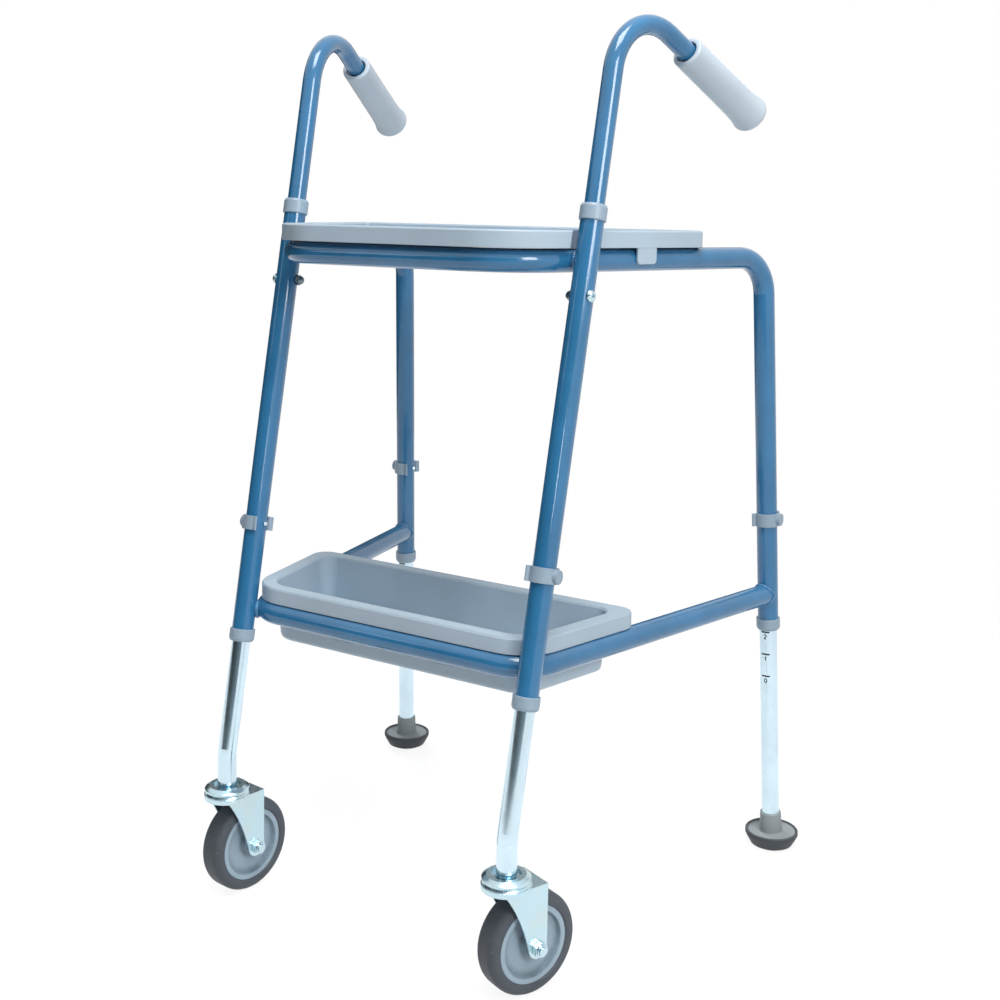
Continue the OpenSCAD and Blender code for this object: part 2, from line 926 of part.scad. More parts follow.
// Plastic wheel body: raised outer ring, dished web and a boss around the bush
module wheel_hub(side) {
  half = hub_w / 2;
  web = half - hub_dish;
  boss = fork_in / 2 - hub_side_gap;
  color(plastic)
    on_axle(side)
      difference() {
        rotate_extrude()
          polygon([
            [0, -boss],
            [hub_boss_r - hub_draft, -boss],
            [hub_boss_r, -web],
            [hub_r - hub_ring - hub_draft, -web],
            [hub_r - hub_ring, -half],
            [hub_r, -half],
            [hub_r, half],
            [hub_r - hub_ring, half],
            [hub_r - hub_ring - hub_draft, web],
            [hub_boss_r, web],
            [hub_boss_r - hub_draft, boss],
            [0, boss]
          ]);
        cylinder(d = bush_d + 2 * slip, h = 3 * fork_in, center = true);
      }
}

// Points on an arc round c from angle a0 to angle a1
function arc_points(c, r, a0, a1, steps) =
  [for (i = [0 : steps]) c + r * [cos(a0 + (a1 - a0) * i / steps), sin(a0 + (a1 - a0) * i / steps)]];

// Rubber tyre with a rounded tread
module wheel_tyre(side) {
  half = tyre_w / 2;
  seat_r = hub_r + slip;
  round_at = [wheel_r - tyre_round, half - tyre_round];
  steps = 9;
  color(rubber)
    on_axle(side)
      rotate_extrude()
        polygon(concat(
          [[seat_r, -half + tyre_edge], [seat_r + tyre_edge, -half]],
          arc_points([round_at[0], -round_at[1]], tyre_round, -90, 0, steps),
          arc_points(round_at, tyre_round, 0, 90, steps),
          [[seat_r + tyre_edge, half], [seat_r, half - tyre_edge]]
        ));
}

// Closed outline moved inwards by h; its points run anticlockwise
function left_normal(v) = [-v[1], v[0]] / norm(v);
function inset(points, h) = [
  for (i = [0 : len(points) - 1])
    let (
      before = points[(i + len(points) - 1) % len(points)],
      after = points[(i + 1) % len(points)],
      n1 = left_normal(points[i] - before),
      n2 = left_normal(after - points[i])
    )
    points[i] + h * (n1 + n2) / (1 + n1 * n2)
];

// Plan of a tapered outline at offset o from its axis lines
module tapered_plan(o, front_c, front_r, rear_c, rear_r, side_angle) {
  steps = 10;
  right = concat(
    arc_points(front_c, front_r + o, -90, -side_angle, steps),
    arc_points(rear_c, rear_r + o, -side_angle, 90, steps)
  );
  left = [for (i = [len(right) - 1 : -1 : 0]) [-right[i][0], right[i][1]]];
  polygon(concat(right, left));
}

// Profile (x outwards from the axis line, y up) swept round a tapered outline with round corners.
// The straight lengths lap into the corners, which are drawn slimmer by a hair.
module tapered_sweep(profile, front_c, front_r, rear_c, rear_r, side_angle) {
  side_dir = heading(side_angle);
  side_normal = [cos(side_angle), -sin(side_angle), 0];
  side_start = [front_c[0], front_c[1], 0] + front_r * side_normal;
  side_end = [rear_c[0], rear_c[1], 0] + rear_r * side_normal;
  slim = inset(profile, hair);
  multmatrix(placed([0, -1, 0], up_dir, -x_dir, [front_c[0] + lap, front_c[1] - front_r, 0]))
    linear_extrude(2 * (front_c[0] + lap))
      polygon(profile);
  multmatrix(placed([0, 1, 0], up_dir, x_dir, [-rear_c[0] - lap, rear_c[1] + rear_r, 0]))
    linear_extrude(2 * (rear_c[0] + lap))
      polygon(profile);
  for (s = [0, 1])
    mirror([s, 0, 0]) {
      multmatrix(placed(side_normal, up_dir, -side_dir, side_end + lap * side_dir))
        linear_extrude(norm(side_end - side_start) + 2 * lap)
          polygon(profile);
      translate([front_c[0], front_c[1], 0])
        rotate([0, 0, -90])
          rotate_extrude(angle = 90 - side_angle)
            translate([front_r, 0])
              polygon(slim);
      translate([rear_c[0], rear_c[1], 0])
        rotate([0, 0, -side_angle])
          rotate_extrude(angle = 90 + side_angle)
            translate([rear_r, 0])
              polygon(slim);
    }
}

// Centre of a rear corner of radius r on the right, for a side line through p at an angle
function rear_corner(p, angle, rear_y, r) = [
  p[0] + ((rear_y - r - p[1]) * sin(angle) - r) / cos(angle),
  rear_y - r
];

// Outline of a tray tab, hanging down from y = 0, with round lower corners
module tab_outline() {
  corner = [tab_w / 2 - tab_round, tab_round - tab_h - tray_t];
  steps = 6;
  polygon(concat(
    [[tab_w / 2, 0], [-tab_w / 2, 0]],
    arc_points([-corner[0], corner[1]], tab_round, 180, 270, steps),
    arc_points(corner, tab_round, 270, 360, steps)
  ));
}

// Tray: flat floor inside a rolled rim, notched round the front legs, with a tab over each side rail
module tray() {
  front_c = [upper_centre_x, upper_centre_y];
  rear_c = rear_corner(upper_rear_pt, upper_heading, tray_rear_y, tray_corner);
  rim_start = tray_over - tray_rim;
  side_normal = [cos(upper_heading), -sin(upper_heading), 0];
  tab_at = [upper_front_pt[0], upper_front_pt[1], 0] - axis_gap * side_normal + tab_along * upper_side;
  rim = [
    [rim_start, 0],
    [rim_start + tray_t, 0],
    [rim_start + tray_t, tray_h - tray_t],
    [tray_over - tray_t, tray_h - tray_t],
    [tray_over - tray_t, 0],
    [tray_over, 0],
    [tray_over, tray_h - rim_edge],
    [tray_over - rim_edge, tray_h],
    [rim_start + rim_edge, tray_h],
    [rim_start, tray_h - rim_edge]
  ];
  color(plastic)
    centred()
      difference() {
        union() {
          translate([0, 0, tray_z])
            linear_extrude(tray_t)
              tapered_plan(rim_start + tray_t / 2, front_c, upper_bend, rear_c, tray_corner, upper_heading);
          translate([0, 0, tray_z + 2 * hair])
            tapered_sweep(rim, front_c, upper_bend, rear_c, tray_corner, upper_heading);
          for (s = [0, 1])
            mirror([s, 0, 0]) {
              intersection() {
                translate([0, 0, tray_z])
                  linear_extrude(tray_h)
                    tapered_plan(tray_over - tray_t / 2, front_c, upper_bend, rear_c, tray_corner, upper_heading);
                translate(front_axis(tray_z + tray_h / 2))
                  cylinder(r = notch_wall_r, h = 2 * tray_h, center = true);
              }
              multmatrix(placed(upper_side, up_dir, side_normal, tab_at + [0, 0, tray_z + tray_t]))
                translate([0, 0, tray_over - tray_t + tab_skin])
                  linear_extrude(tray_t - 2 * tab_skin)
                    tab_outline();
            }
        }
        for (s = [0, 1])
          mirror([s, 0, 0])
            rod(front_axis(tray_z - 4 * cut), front_axis(tray_z + tray_h + 4 * cut), 2 * notch_r);
      }
}

// Basket: rolled rim that sits on the lower rail, drafted walls with a rounded foot, and a floor.
// The rear corners of the rim are tighter than those of the walls below it.
module basket() {
  front_c = [lower_centre_x, lower_centre_y];
  rear_c = rear_corner(lower_rear_pt, lower_heading, basket_rear_y, basket_corner);
  rim_c = rear_corner(lower_rear_pt, lower_heading, basket_rear_y, rim_corner);
  lean = (rim_top - basket_bottom) * tan(draft);
  wall_top = -rim_in + wall_t;
  foot_in = wall_top - lean;
  outer_foot = [for (a = [0 : 15 : 90]) [
    foot_in - floor_round * (1 - cos(a)) + floor_round * tan(draft) * (1 - sin(a)),
    basket_bottom + floor_round * (1 - sin(a))
  ]];
  inner_foot = [for (point = outer_foot) point + [-wall_t, wall_t]];
  floor_o = foot_in - floor_round - wall_t - floor_lap;
  wall = concat(
    [
      [wall_top, rim_top - wall_t],
      [wall_top, rim_top],
      [-rim_in + rim_edge, rim_top],
      [-rim_in, rim_top - rim_edge]
    ],
    inner_foot,
    [
      [floor_o, basket_bottom + wall_t],
      [floor_o, basket_bottom]
    ],
    [for (i = [len(outer_foot) - 1 : -1 : 0]) outer_foot[i]]
  );
  skirt = [
    [rim_out - wall_t, rim_z],
    [rim_out, rim_z],
    [rim_out, rim_top - rim_edge],
    [rim_out - rim_edge, rim_top],
    [rim_out - wall_t, rim_top]
  ];
  color(plastic)
    centred()
      union() {
        tapered_sweep(wall, front_c, lower_bend, rear_c, basket_corner, lower_heading);
        tapered_sweep(skirt, front_c, lower_bend, rim_c, rim_corner, lower_heading);
        translate([0, 0, rim_top - wall_t + 2 * hair])
          linear_extrude(wall_t - 4 * hair)
            difference() {
              tapered_plan(rim_out - wall_t / 2, front_c, lower_bend, rim_c, rim_corner, lower_heading);
              tapered_plan(wall_top - wall_t / 2, front_c, lower_bend, rear_c, basket_corner, lower_heading);
            }
        translate([0, 0, basket_bottom + 2 * hair])
          linear_extrude(wall_t - 4 * hair)
            tapered_plan(floor_o + floor_lap / 2, front_c, lower_bend, rear_c, basket_corner, lower_heading);
        for (s = [-1, 1])
          translate([s * lug_x - lug_w / 2, lower_y + tube_d / 2 + seat, lug_z])
            cube([lug_w, lug_t, lug_h]);
      }
}

upper_rail();
lower_rail();
front_leg(1);  // front_leg_right
front_leg(-1);  // front_leg_left
handle_tube(1);  // handle_tube_right
handle_tube(-1);  // handle_tube_left
handle_grip(1);  // handle_grip_right
handle_grip(-1);  // handle_grip_left
handle_collar(1);  // handle_collar_right
handle_collar(-1);  // handle_collar_left
handle_bolts();
handle_nuts();
leg_collar(1, front_axis(front_leg_bottom), front_dir);  // front_collar_right
leg_collar(-1, front_axis(front_leg_bottom), front_dir);  // front_collar_left
leg_collar(1, rear_axis(rear_leg_bottom), rear_dir);  // rear_collar_right
leg_collar(-1, rear_axis(rear_leg_bottom), rear_dir);  // rear_collar_left
front_inner_tube(1);  // front_inner_tube_right
front_inner_tube(-1);  // front_inner_tube_left
rear_inner_tube(1);  // rear_inner_tube_right
rear_inner_tube(-1);  // rear_inner_tube_left
foot(1);  // foot_right
foot(-1);  // foot_left
foot_washer(1);  // foot_washer_right
foot_washer(-1);  // foot_washer_left
clip_band(1, front_axis(front_pin_z), front_dir);  // front_clip_band_right
clip_band(-1, front_axis(front_pin_z), front_dir);  // front_clip_band_left
clip_band(1, rear_axis(rear_pin_z), rear_dir);  // rear_clip_band_right
clip_band(-1, rear_axis(rear_pin_z), rear_dir);  // rear_clip_band_left
clip_pin(1, front_axis(front_pin_z), front_dir);  // front_clip_pin_right
clip_pin(-1, front_axis(front_pin_z), front_dir);  // front_clip_pin_left
clip_pin(1, rear_axis(rear_pin_z), rear_dir);  // rear_clip_pin_right
clip_pin(-1, rear_axis(rear_pin_z), rear_dir);  // rear_clip_pin_left
caster_stem(1);  // caster_stem_right
caster_stem(-1);  // caster_stem_left
race_balls(1);  // race_balls_right
race_balls(-1);  // race_balls_left
caster_fork(1);  // caster_fork_right
caster_fork(-1);  // caster_fork_left
axle_bolt(1);  // axle_bolt_right
axle_bolt(-1);  // axle_bolt_left
axle_nut(1);  // axle_nut_right
axle_nut(-1);  // axle_nut_left
wheel_bush(1);  // wheel_bush_right
wheel_bush(-1);  // wheel_bush_left
wheel_hub(1);  // wheel_hub_right
wheel_hub(-1);  // wheel_hub_left
wheel_tyre(1);  // wheel_tyre_right
wheel_tyre(-1);  // wheel_tyre_left
tray();
basket();
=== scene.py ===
"""Dresses the indoor walker: the finish of every tube, moulding and caster, the weld beads, the printed
height marks and the stage.

Metres, +Z up, front (casters) towards -Y, handles towards +Y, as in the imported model.
"""

import json
import math

import bpy
import numpy as np
from bpy.props import FloatProperty, FloatVectorProperty, PointerProperty
from mathutils import Matrix, Vector


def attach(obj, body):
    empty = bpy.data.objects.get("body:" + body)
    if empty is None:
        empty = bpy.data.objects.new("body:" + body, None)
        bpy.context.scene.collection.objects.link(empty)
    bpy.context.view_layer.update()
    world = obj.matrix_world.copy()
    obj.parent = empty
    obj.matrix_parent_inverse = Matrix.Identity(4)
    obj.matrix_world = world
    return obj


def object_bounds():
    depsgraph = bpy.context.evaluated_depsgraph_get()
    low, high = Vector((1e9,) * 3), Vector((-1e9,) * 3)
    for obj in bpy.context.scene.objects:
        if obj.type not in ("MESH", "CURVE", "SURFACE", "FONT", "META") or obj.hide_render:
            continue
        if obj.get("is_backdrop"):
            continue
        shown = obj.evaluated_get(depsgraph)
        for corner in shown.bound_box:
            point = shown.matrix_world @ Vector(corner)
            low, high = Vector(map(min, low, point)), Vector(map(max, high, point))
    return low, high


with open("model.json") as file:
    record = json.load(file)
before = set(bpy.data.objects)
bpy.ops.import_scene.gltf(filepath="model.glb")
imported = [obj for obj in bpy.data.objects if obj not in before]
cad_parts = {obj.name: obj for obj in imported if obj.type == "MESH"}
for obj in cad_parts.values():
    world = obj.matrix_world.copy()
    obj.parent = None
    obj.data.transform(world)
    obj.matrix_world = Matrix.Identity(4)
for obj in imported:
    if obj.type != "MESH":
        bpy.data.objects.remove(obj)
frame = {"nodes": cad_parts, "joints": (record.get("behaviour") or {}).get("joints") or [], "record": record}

bl_info = {
    "name": "Indoor walker finishes",
    "version": (1, 0, 0),
    "blender": (4, 5, 0),
    "location": "3D View > Sidebar > Walker",
    "description": "Finishes, weld beads, height marks and stage for the indoor walker",
    "category": "Object",
}

CAD_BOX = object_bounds()
SIDES = {"right": 1, "left": -1}
JOINTS = {joint["name"]: joint for joint in frame["joints"]}
MOUNTS = {mount["name"]: mount for mount in frame["record"]["mounts"]}

# Sizes of the solids, in metres
TUBE_R = 0.0111
INNER_TUBE_R = 0.0095
WELD_GAP = 0.0003
STEM_Z = 0.149
UPPER_RAIL_Z = 0.657
LOWER_RAIL_Z = 0.2906
LOWER_BEND_R = 0.040
LOWER_BAR_BACK = 0.0083
HUB_DISH_R = 0.031
HUB_BOSS_R = 0.012
FOOT_DISH_R = 0.0255
FOOT_SOLE_TOP = 0.014
COLLAR_EDGE_Z = 0.2495
HOLE_PITCH = 0.025

# Ranges of noise in which the tones, the height of the grain and the height of rubber's grain are read
NOISE_SPAN = (0.3, 0.7)
GRAIN_SPAN = (0.25, 0.75)
RUBBER_SPAN = (0.2, 0.8)

# Widths of the painted shade at the edge and boss of a wheel's dish, of a tyre's dark tread and of a
# colour's edge
OUTER_DISH_SHADE = 0.008
INNER_DISH_SHADE = 0.005
TREAD_EDGE = 0.007
FADE = 0.001

# Refraction of the enamel, of the plastics, and of the dull rubber and ink
ENAMEL_IOR = 1.5
PLASTIC_IOR = 1.47
DULL_IOR = 1.45

# Weld beads: points along a bead and round it, and the share of its radius that ripples
TOUCH_BEAD_STEPS = 220
TOUCH_BEAD_SIDES = 20
COPE_BEAD_STEPS = 260
COPE_BEAD_SIDES = 18
RIPPLE_SHARE = 0.05

# Print: points along a tick and round a stroke, space over a numeral in tick widths, length of almost none
TICK_STEPS = 30
STROKE_SIDES = 12
NUMERAL_SPACE = 1.6
TINY = 1e-12

# Stage floor: half its width, its grid lines, the distances where its shadow fades, and its tones
FLOOR_REACH = 6.0
FLOOR_LINES = 9
SHADOW_FADE = (0.45, 1.5)
VEIL_TONE = 0.22
CLEAR_TONE = 0.87
BOUNCE_TONE = 0.75

# Dark wall: radius, height, bearings of its ends, grid lines, and where in X its tone starts and ends
WALL_R = 2.8
WALL_TOP = 1.7
WALL_BEARINGS = (-165.0, 47.0)
WALL_LINES = 33
WALL_SHADES = (-1.6, 2.2)

# Camera: sensor width in millimetres, and the nearest distance that it sees
SENSOR_WIDTH = 36.0
CLIP_START = 0.01


def slide_rise(joint):
    """Change of place for each metre of height along the way that a leg slides."""
    axis = np.array(JOINTS[joint]["axis"])
    return axis / axis[2]


def front_leg(height):
    """Point of the right front leg's axis at a height."""
    x, y, _ = JOINTS["caster_swivel_right"]["pos_m"]
    return np.array([x, y, STEM_Z]) + (height - STEM_Z) * FRONT_LEG_RISE


def rear_leg(height):
    """Point of the right rear leg's axis at a height."""
    return np.array(MOUNTS["foot_pad_right"]["pos_m"]) + height * REAR_LEG_RISE


def level_way(heading):
    """Level way at an angle from +Y towards +X."""
    return np.array([math.sin(heading), math.cos(heading), 0.0])


def flat_heading(run):
    """Angle of a level run from +Y towards +X, and its length."""
    return math.atan2(run[0], run[1]), math.hypot(run[0], run[1])


def upper_rail_heading():
    """Heading of the upper side rail, which ends on the rear leg's axis and passes inside the front leg:
    the heading of the line from leg to leg, turned by the angle whose sine is the axes' gap over that
    line's length."""
    heading, length = flat_heading(rear_leg(UPPER_RAIL_Z) - front_leg(UPPER_RAIL_Z))
    return heading + math.asin(AXIS_GAP / length)


def lower_bend_centre():
    """Middle of the lower rail's right corner bend: its front bar lies behind the front leg, and the bend
    touches the leg, so the two axes are one gap apart."""
    back = LOWER_BAR_BACK + LOWER_BEND_R
    inward = math.sqrt((LOWER_BEND_R + AXIS_GAP) ** 2 - back**2)
    return front_leg(LOWER_RAIL_Z) + np.array([-inward, back, 0.0])


def lower_rail_heading():
    """Heading of the lower side rail: the tangent from the rear leg's axis to the corner bend."""
    heading, length = flat_heading(rear_leg(LOWER_RAIL_Z) - LOWER_BEND_CENTRE)
    return heading - math.asin(LOWER_BEND_R / length)


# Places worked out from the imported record
AXIS_GAP = 2 * TUBE_R + WELD_GAP
FRONT_LEG_RISE = slide_rise("front_leg_height_right")
REAR_LEG_RISE = slide_rise("rear_leg_height_right")
UPPER_RAIL_WAY = level_way(upper_rail_heading())
LOWER_BEND_CENTRE = lower_bend_centre()
LOWER_RAIL_WAY = level_way(lower_rail_heading())
WHEEL_R = JOINTS["wheel_spin_right"]["pos_m"][2]
FURTHEST_IN, FURTHEST_OUT = JOINTS["rear_leg_height_right"]["range_m"]
SETTING_NOW = round(-FURTHEST_IN / HOLE_PITCH)
HEIGHT_SETTINGS = round((FURTHEST_OUT - FURTHEST_IN) / HOLE_PITCH) + 1


def srgb(red, green, blue):
    """Linear colour of an sRGB colour given from 0 to 255."""
    value = np.array([red, green, blue]) / 255.0
    linear = np.where(value <= 0.04045, value / 12.92, ((value + 0.055) / 1.055) ** 2.4)
    return tuple(float(v) for v in linear)


# Settings


def colour_prop(name, description, value):
    """Colour setting of a finish."""
    return FloatVectorProperty(
        name=name, description=description, subtype="COLOR", size=3, min=0.0, max=1.0, default=value
    )


def length_prop(name, description, value):
    """Length setting in metres."""
    shown = {"precision": 5, "unit": "LENGTH", "subtype": "DISTANCE"}
    return FloatProperty(name=name, description=description, default=value, min=0.0, **shown)


def angle_prop(name, description, degrees):
    """Angle setting, given in degrees."""
    return FloatProperty(name=name, description=description, subtype="ANGLE", default=math.radians(degrees))


def power_prop(name, description, watts):
    """Power setting of a lamp."""
    return FloatProperty(name=name, description=description, unit="POWER", default=watts)


class WalkerFinish(bpy.types.PropertyGroup):
    """Colours of the finishes and sizes of their textures."""

    paint: colour_prop("Frame paint", "Gloss enamel on the bent tubes", srgb(46, 115, 161))
    moulding: colour_prop("Shell plastic", "Tray and basket", srgb(176, 194, 208))
    collar: colour_prop("Collar plastic", "Collars and clips", srgb(149, 169, 185))
    grip: colour_prop("Grips", "Soft vinyl of the handle grips", srgb(194, 207, 218))
    chrome: colour_prop("Chrome", "Inner leg tubes", srgb(212, 234, 245))
    zinc: colour_prop("Zinc", "Pressed caster parts and fasteners", srgb(198, 221, 231))
    hub: colour_prop("Wheel bodies", "Plastic of the caster wheels", srgb(156, 176, 190))
    tyre: colour_prop("Tyres", "Rubber of the caster wheels", srgb(76, 82, 90))
    foot: colour_prop("Rear feet", "Rubber of the rear feet", srgb(152, 160, 163))
    # Painted shade: a dark colour laid on the rim, bowl and underside of the rear feet
    painted_foot_shade: colour_prop("Foot bowls", "Rim and bowl of the rear feet", srgb(66, 71, 76))
    dust: colour_prop("Dust", "Fine dust on upward faces", srgb(198, 200, 200))
    ink: colour_prop("Ink", "Printed height marks", srgb(28, 30, 34))
    paint_peel: length_prop("Paint ripple", "Width of the ripples in the enamel", 0.0032)
    moulding_grain: length_prop("Mould grain", "Width of the grain on moulded plastic", 0.0011)
    rubber_grain: length_prop("Rubber grain", "Width of the grain on rubber and zinc", 0.0008)


class WalkerDetail(bpy.types.PropertyGroup):
    """Sizes of the welds and of the printed height marks."""

    bead_ring: length_prop("Weld ring", "Radius of a weld around the touch of two tubes", 0.0072)
    bead_lap: length_prop("Weld lap", "How far a bead laps on to each tube", 0.0009)
    cope_bead: length_prop("Cope bead", "Radius of the bead round a coped tube end", 0.0019)
    ripple: length_prop("Weld ripple", "Distance between the ripples of a bead", 0.0019)
    tick_length: length_prop("Tick length", "Length of a height mark round the tube", 0.0104)
    tick_width: length_prop("Tick width", "Width of a height mark", 0.0018)
    numeral_height: length_prop("Numeral height", "Height of the numerals", 0.0046)
    stroke_width: length_prop("Stroke width", "Width of a numeral's stroke", 0.0011)
    ink_height: length_prop("Ink thickness", "How far the print stands on the tube", 0.00006)


class WalkerStage(bpy.types.PropertyGroup):
    """Camera and light."""

    camera_place: FloatVectorProperty(
        name="Camera place",
        description="Where the camera stands",
        subtype="TRANSLATION",
        unit="LENGTH",
        size=3,
        default=(0.78395, -1.21526, 0.7026),
    )
    camera_heading: angle_prop("Heading", "Camera turn to the left of +Y", 32.3304)
    camera_pitch: angle_prop("Pitch", "How far the camera looks down", 6.1471)
    camera_roll: angle_prop("Roll", "Turn about the line of sight", 1.0826)
    focal_length: FloatProperty(
        name="Focal length", description="Lens on a 36 mm sensor", unit="CAMERA", default=49.8514
    )
    view_shift: FloatProperty(name="View shift", description="Vertical shift of the frame", default=-0.14164)
    key_power: power_prop("Key light", "Power of the strip at the right", 21.0)
    top_power: power_prop("Top light", "Power of the overhead softbox", 38.0)
    back_power: power_prop("Back light", "Power of the softbox behind", 38.0)
    spot_power: power_prop("Small lamps", "Power of each of the two small lamps", 1.0)
    ambient: FloatProperty(name="Ambient", description="Strength of the surrounding light", default=0.14)


# Surfaces


def unit(vectors):
    """Vectors of length one."""
    return vectors / np.linalg.norm(vectors, axis=-1, keepdims=True)


def full_turn(count):
    """Evenly spaced angles round a full turn."""
    return np.linspace(0.0, 2.0 * np.pi, count, endpoint=False)


def mirrored(points, side):
    """The points of the right side, or their mirror image for the left side."""
    return points * np.array([side, 1.0, 1.0])


def settle(points, faces):
    """The faces turned so that the closed surface they make holds a positive volume."""
    a, b, c, d = (points[faces[:, corner]] for corner in range(4))
    volume = np.einsum("ij,ij->i", a, np.cross(b, c) + np.cross(c, d)).sum()
    return faces if volume > 0 else faces[:, ::-1]


def grid_faces(rows, columns, wrap_rows=False, wrap_columns=False):
    """Quads of a grid of points; a wrapped direction joins its last line to its first."""
    index = np.arange(rows * columns).reshape(rows, columns)
    if wrap_rows:
        index = np.vstack([index, index[:1]])
    if wrap_columns:
        index = np.hstack([index, index[:, :1]])
    return np.stack([index[:-1, :-1], index[1:, :-1], index[1:, 1:], index[:-1, 1:]], -1).reshape(-1, 4)


def mesh_object(name, points, faces, material):
    """Object with a new mesh and one material, in the scene."""
    mesh = bpy.data.meshes.new(name)
    mesh.from_pydata(points.tolist(), [], faces.tolist())
    mesh.materials.append(material)
    made = bpy.data.objects.new(name, mesh)
    bpy.context.scene.collection.objects.link(made)
    return made


def surface_object(name, sheets, material):
    """One smooth object from closed grid surfaces, each a (rows, columns, 3) array with its two wraps."""
    points, faces, offset = [], [], 0
    for grid, wrap_rows, wrap_columns in sheets:
        flat = grid.reshape(-1, 3)
        quads = grid_faces(grid.shape[0], grid.shape[1], wrap_rows, wrap_columns)
        faces.append(settle(flat, quads) + offset)
        points.append(flat)
        offset += len(flat)
    made = mesh_object(name, np.concatenate(points), np.concatenate(faces), material)
    made.data.polygons.foreach_set("use_smooth", np.ones(len(made.data.polygons), dtype=bool))
    made.data.update()
    return made


def bead_on_path(path, radius, sides):
    """Round bead carried along a closed path: centre + radius * (cos a * side + sin a * lift), with the
    side and lift vectors square to the path."""
    tangent = unit(np.roll(path, -1, 0) - np.roll(path, 1, 0))
    side = unit(np.cross(tangent, unit(path - path.mean(0))))
    lift = np.cross(side, tangent)
    angle = full_turn(sides)[:, None]
    ring = np.cos(angle) * side[:, None, :] + np.sin(angle) * lift[:, None, :]
    return path[:, None, :] + radius[:, None, None] * ring


# Node trees


def place(tree, kind, sockets=None, **settings):
    """A node with its settings, each named input linked to a socket or set to a plain value."""
    made = tree.nodes.new(kind)
    for key, value in settings.items():
        setattr(made, key, value)
    for key, value in (sockets or {}).items():
        if isinstance(value, bpy.types.NodeSocket):
            tree.links.new(value, made.inputs[key])
        else:
            made.inputs[key].default_value = value
    return made


def math_node(tree, operation, first, second=0.5, third=0.5, clamp=False):
    """Output of a math node."""
    sockets = {0: first, 1: second, 2: third}
    return place(tree, "ShaderNodeMath", sockets, operation=operation, use_clamp=clamp).outputs[0]


def vector_length(tree, vector):
    """Length of a vector."""
    return place(tree, "ShaderNodeVectorMath", {0: vector}, operation="LENGTH").outputs["Value"]


def flat_distance(tree, first, second):
    """Distance from the origin in the plane of two coordinates."""
    return vector_length(tree, place(tree, "ShaderNodeCombineXYZ", {"X": first, "Y": second}).outputs[0])


def mix_colour(tree, factor, first, second):
    """Colour between two colours or colour sockets, which a Mix node takes at 6 and 7 and puts out at 2."""
    sockets = {0: factor}
    for key, value in ((6, first), (7, second)):
        sockets[key] = value if isinstance(value, bpy.types.NodeSocket) else (*value, 1.0)
    return place(tree, "ShaderNodeMix", sockets, data_type="RGBA").outputs[2]


def map_range(tree, value, low, high, new_low=0.0, new_high=1.0):
    """Value carried smoothly from one range to another, clamped."""
    sockets = {"Value": value, "From Min": low, "From Max": high, "To Min": new_low, "To Max": new_high}
    made = place(tree, "ShaderNodeMapRange", sockets, interpolation_type="SMOOTHSTEP")
    return made.outputs["Result"]


def noise(tree, vector, scale, detail=2.0, roughness=0.5):
    """Value of a noise texture."""
    sockets = {"Vector": vector, "Scale": scale, "Detail": detail, "Roughness": roughness}
    return place(tree, "ShaderNodeTexNoise", sockets).outputs["Fac"]


def new_group(name, inputs, outputs):
    """Empty shader node group, what it is given and what it puts out. An input given as None is a vector,
    one given as a number is a value with that default, and the outputs are values."""
    tree = bpy.data.node_groups.new(name, "ShaderNodeTree")
    for socket, value in inputs.items():
        kind = "NodeSocketVector" if value is None else "NodeSocketFloat"
        made = tree.interface.new_socket(name=socket, in_out="INPUT", socket_type=kind)
        if value is not None:
            made.default_value = value
    for socket in outputs:
        tree.interface.new_socket(name=socket, in_out="OUTPUT", socket_type="NodeSocketFloat")
    ends = tree.nodes.new("NodeGroupInput"), tree.nodes.new("NodeGroupOutput")
    return tree, ends[0].outputs, ends[1].inputs


def grain_group():
    """Mould grain: fine noise over coarse noise for the height, broad noise for the tone."""
    tree, given, result = new_group("mould_grain", {"Vector": None, "Size": 0.001}, ["Height", "Tone"])
    scale = math_node(tree, "DIVIDE", 1.0, given["Size"])
    fine = noise(tree, given["Vector"], scale, detail=3.0, roughness=0.6)
    coarse = noise(tree, given["Vector"], math_node(tree, "MULTIPLY", scale, 0.3), detail=1.0)
    height = math_node(tree, "MULTIPLY_ADD", fine, 0.7, math_node(tree, "MULTIPLY", coarse, 0.3))
    tree.links.new(height, result["Height"])
    tone = noise(tree, given["Vector"], scale=9.0, detail=3.0)
    tree.links.new(tone, result["Tone"])
    return tree


def peel_group():
    """Enamel ripple: soft noise of the given width for the height, broad noise for the gloss and tone."""
    tree, given, result = new_group("enamel_ripple", {"Vector": None, "Size": 0.003}, ["Height", "Tone"])
    scale = math_node(tree, "DIVIDE", 1.0, given["Size"])
    ripple = noise(tree, given["Vector"], scale, detail=1.0, roughness=0.4)
    tree.links.new(ripple, result["Height"])
    tone = noise(tree, given["Vector"], scale=16.0, detail=4.0, roughness=0.6)
    tree.links.new(tone, result["Tone"])
    return tree


def dust_group():
    """Settled dust: upward faces, broken up by noise."""
    inputs = {"Vector": None, "Normal": None, "Amount": 0.2}
    tree, given, result = new_group("settled_dust", inputs, ["Mask"])
    up = place(tree, "ShaderNodeSeparateXYZ", {0: given["Normal"]}).outputs["Z"]
    facing = map_range(tree, up, 0.35, 1.0)
    cover = noise(tree, given["Vector"], scale=38.0, detail=5.0, roughness=0.65)
    patches = map_range(tree, cover, 0.35, 0.75, 0.35, 1.0)
    mask = math_node(tree, "MULTIPLY", facing, patches)
    tree.links.new(math_node(tree, "MULTIPLY", mask, given["Amount"]), result["Mask"])
    return tree


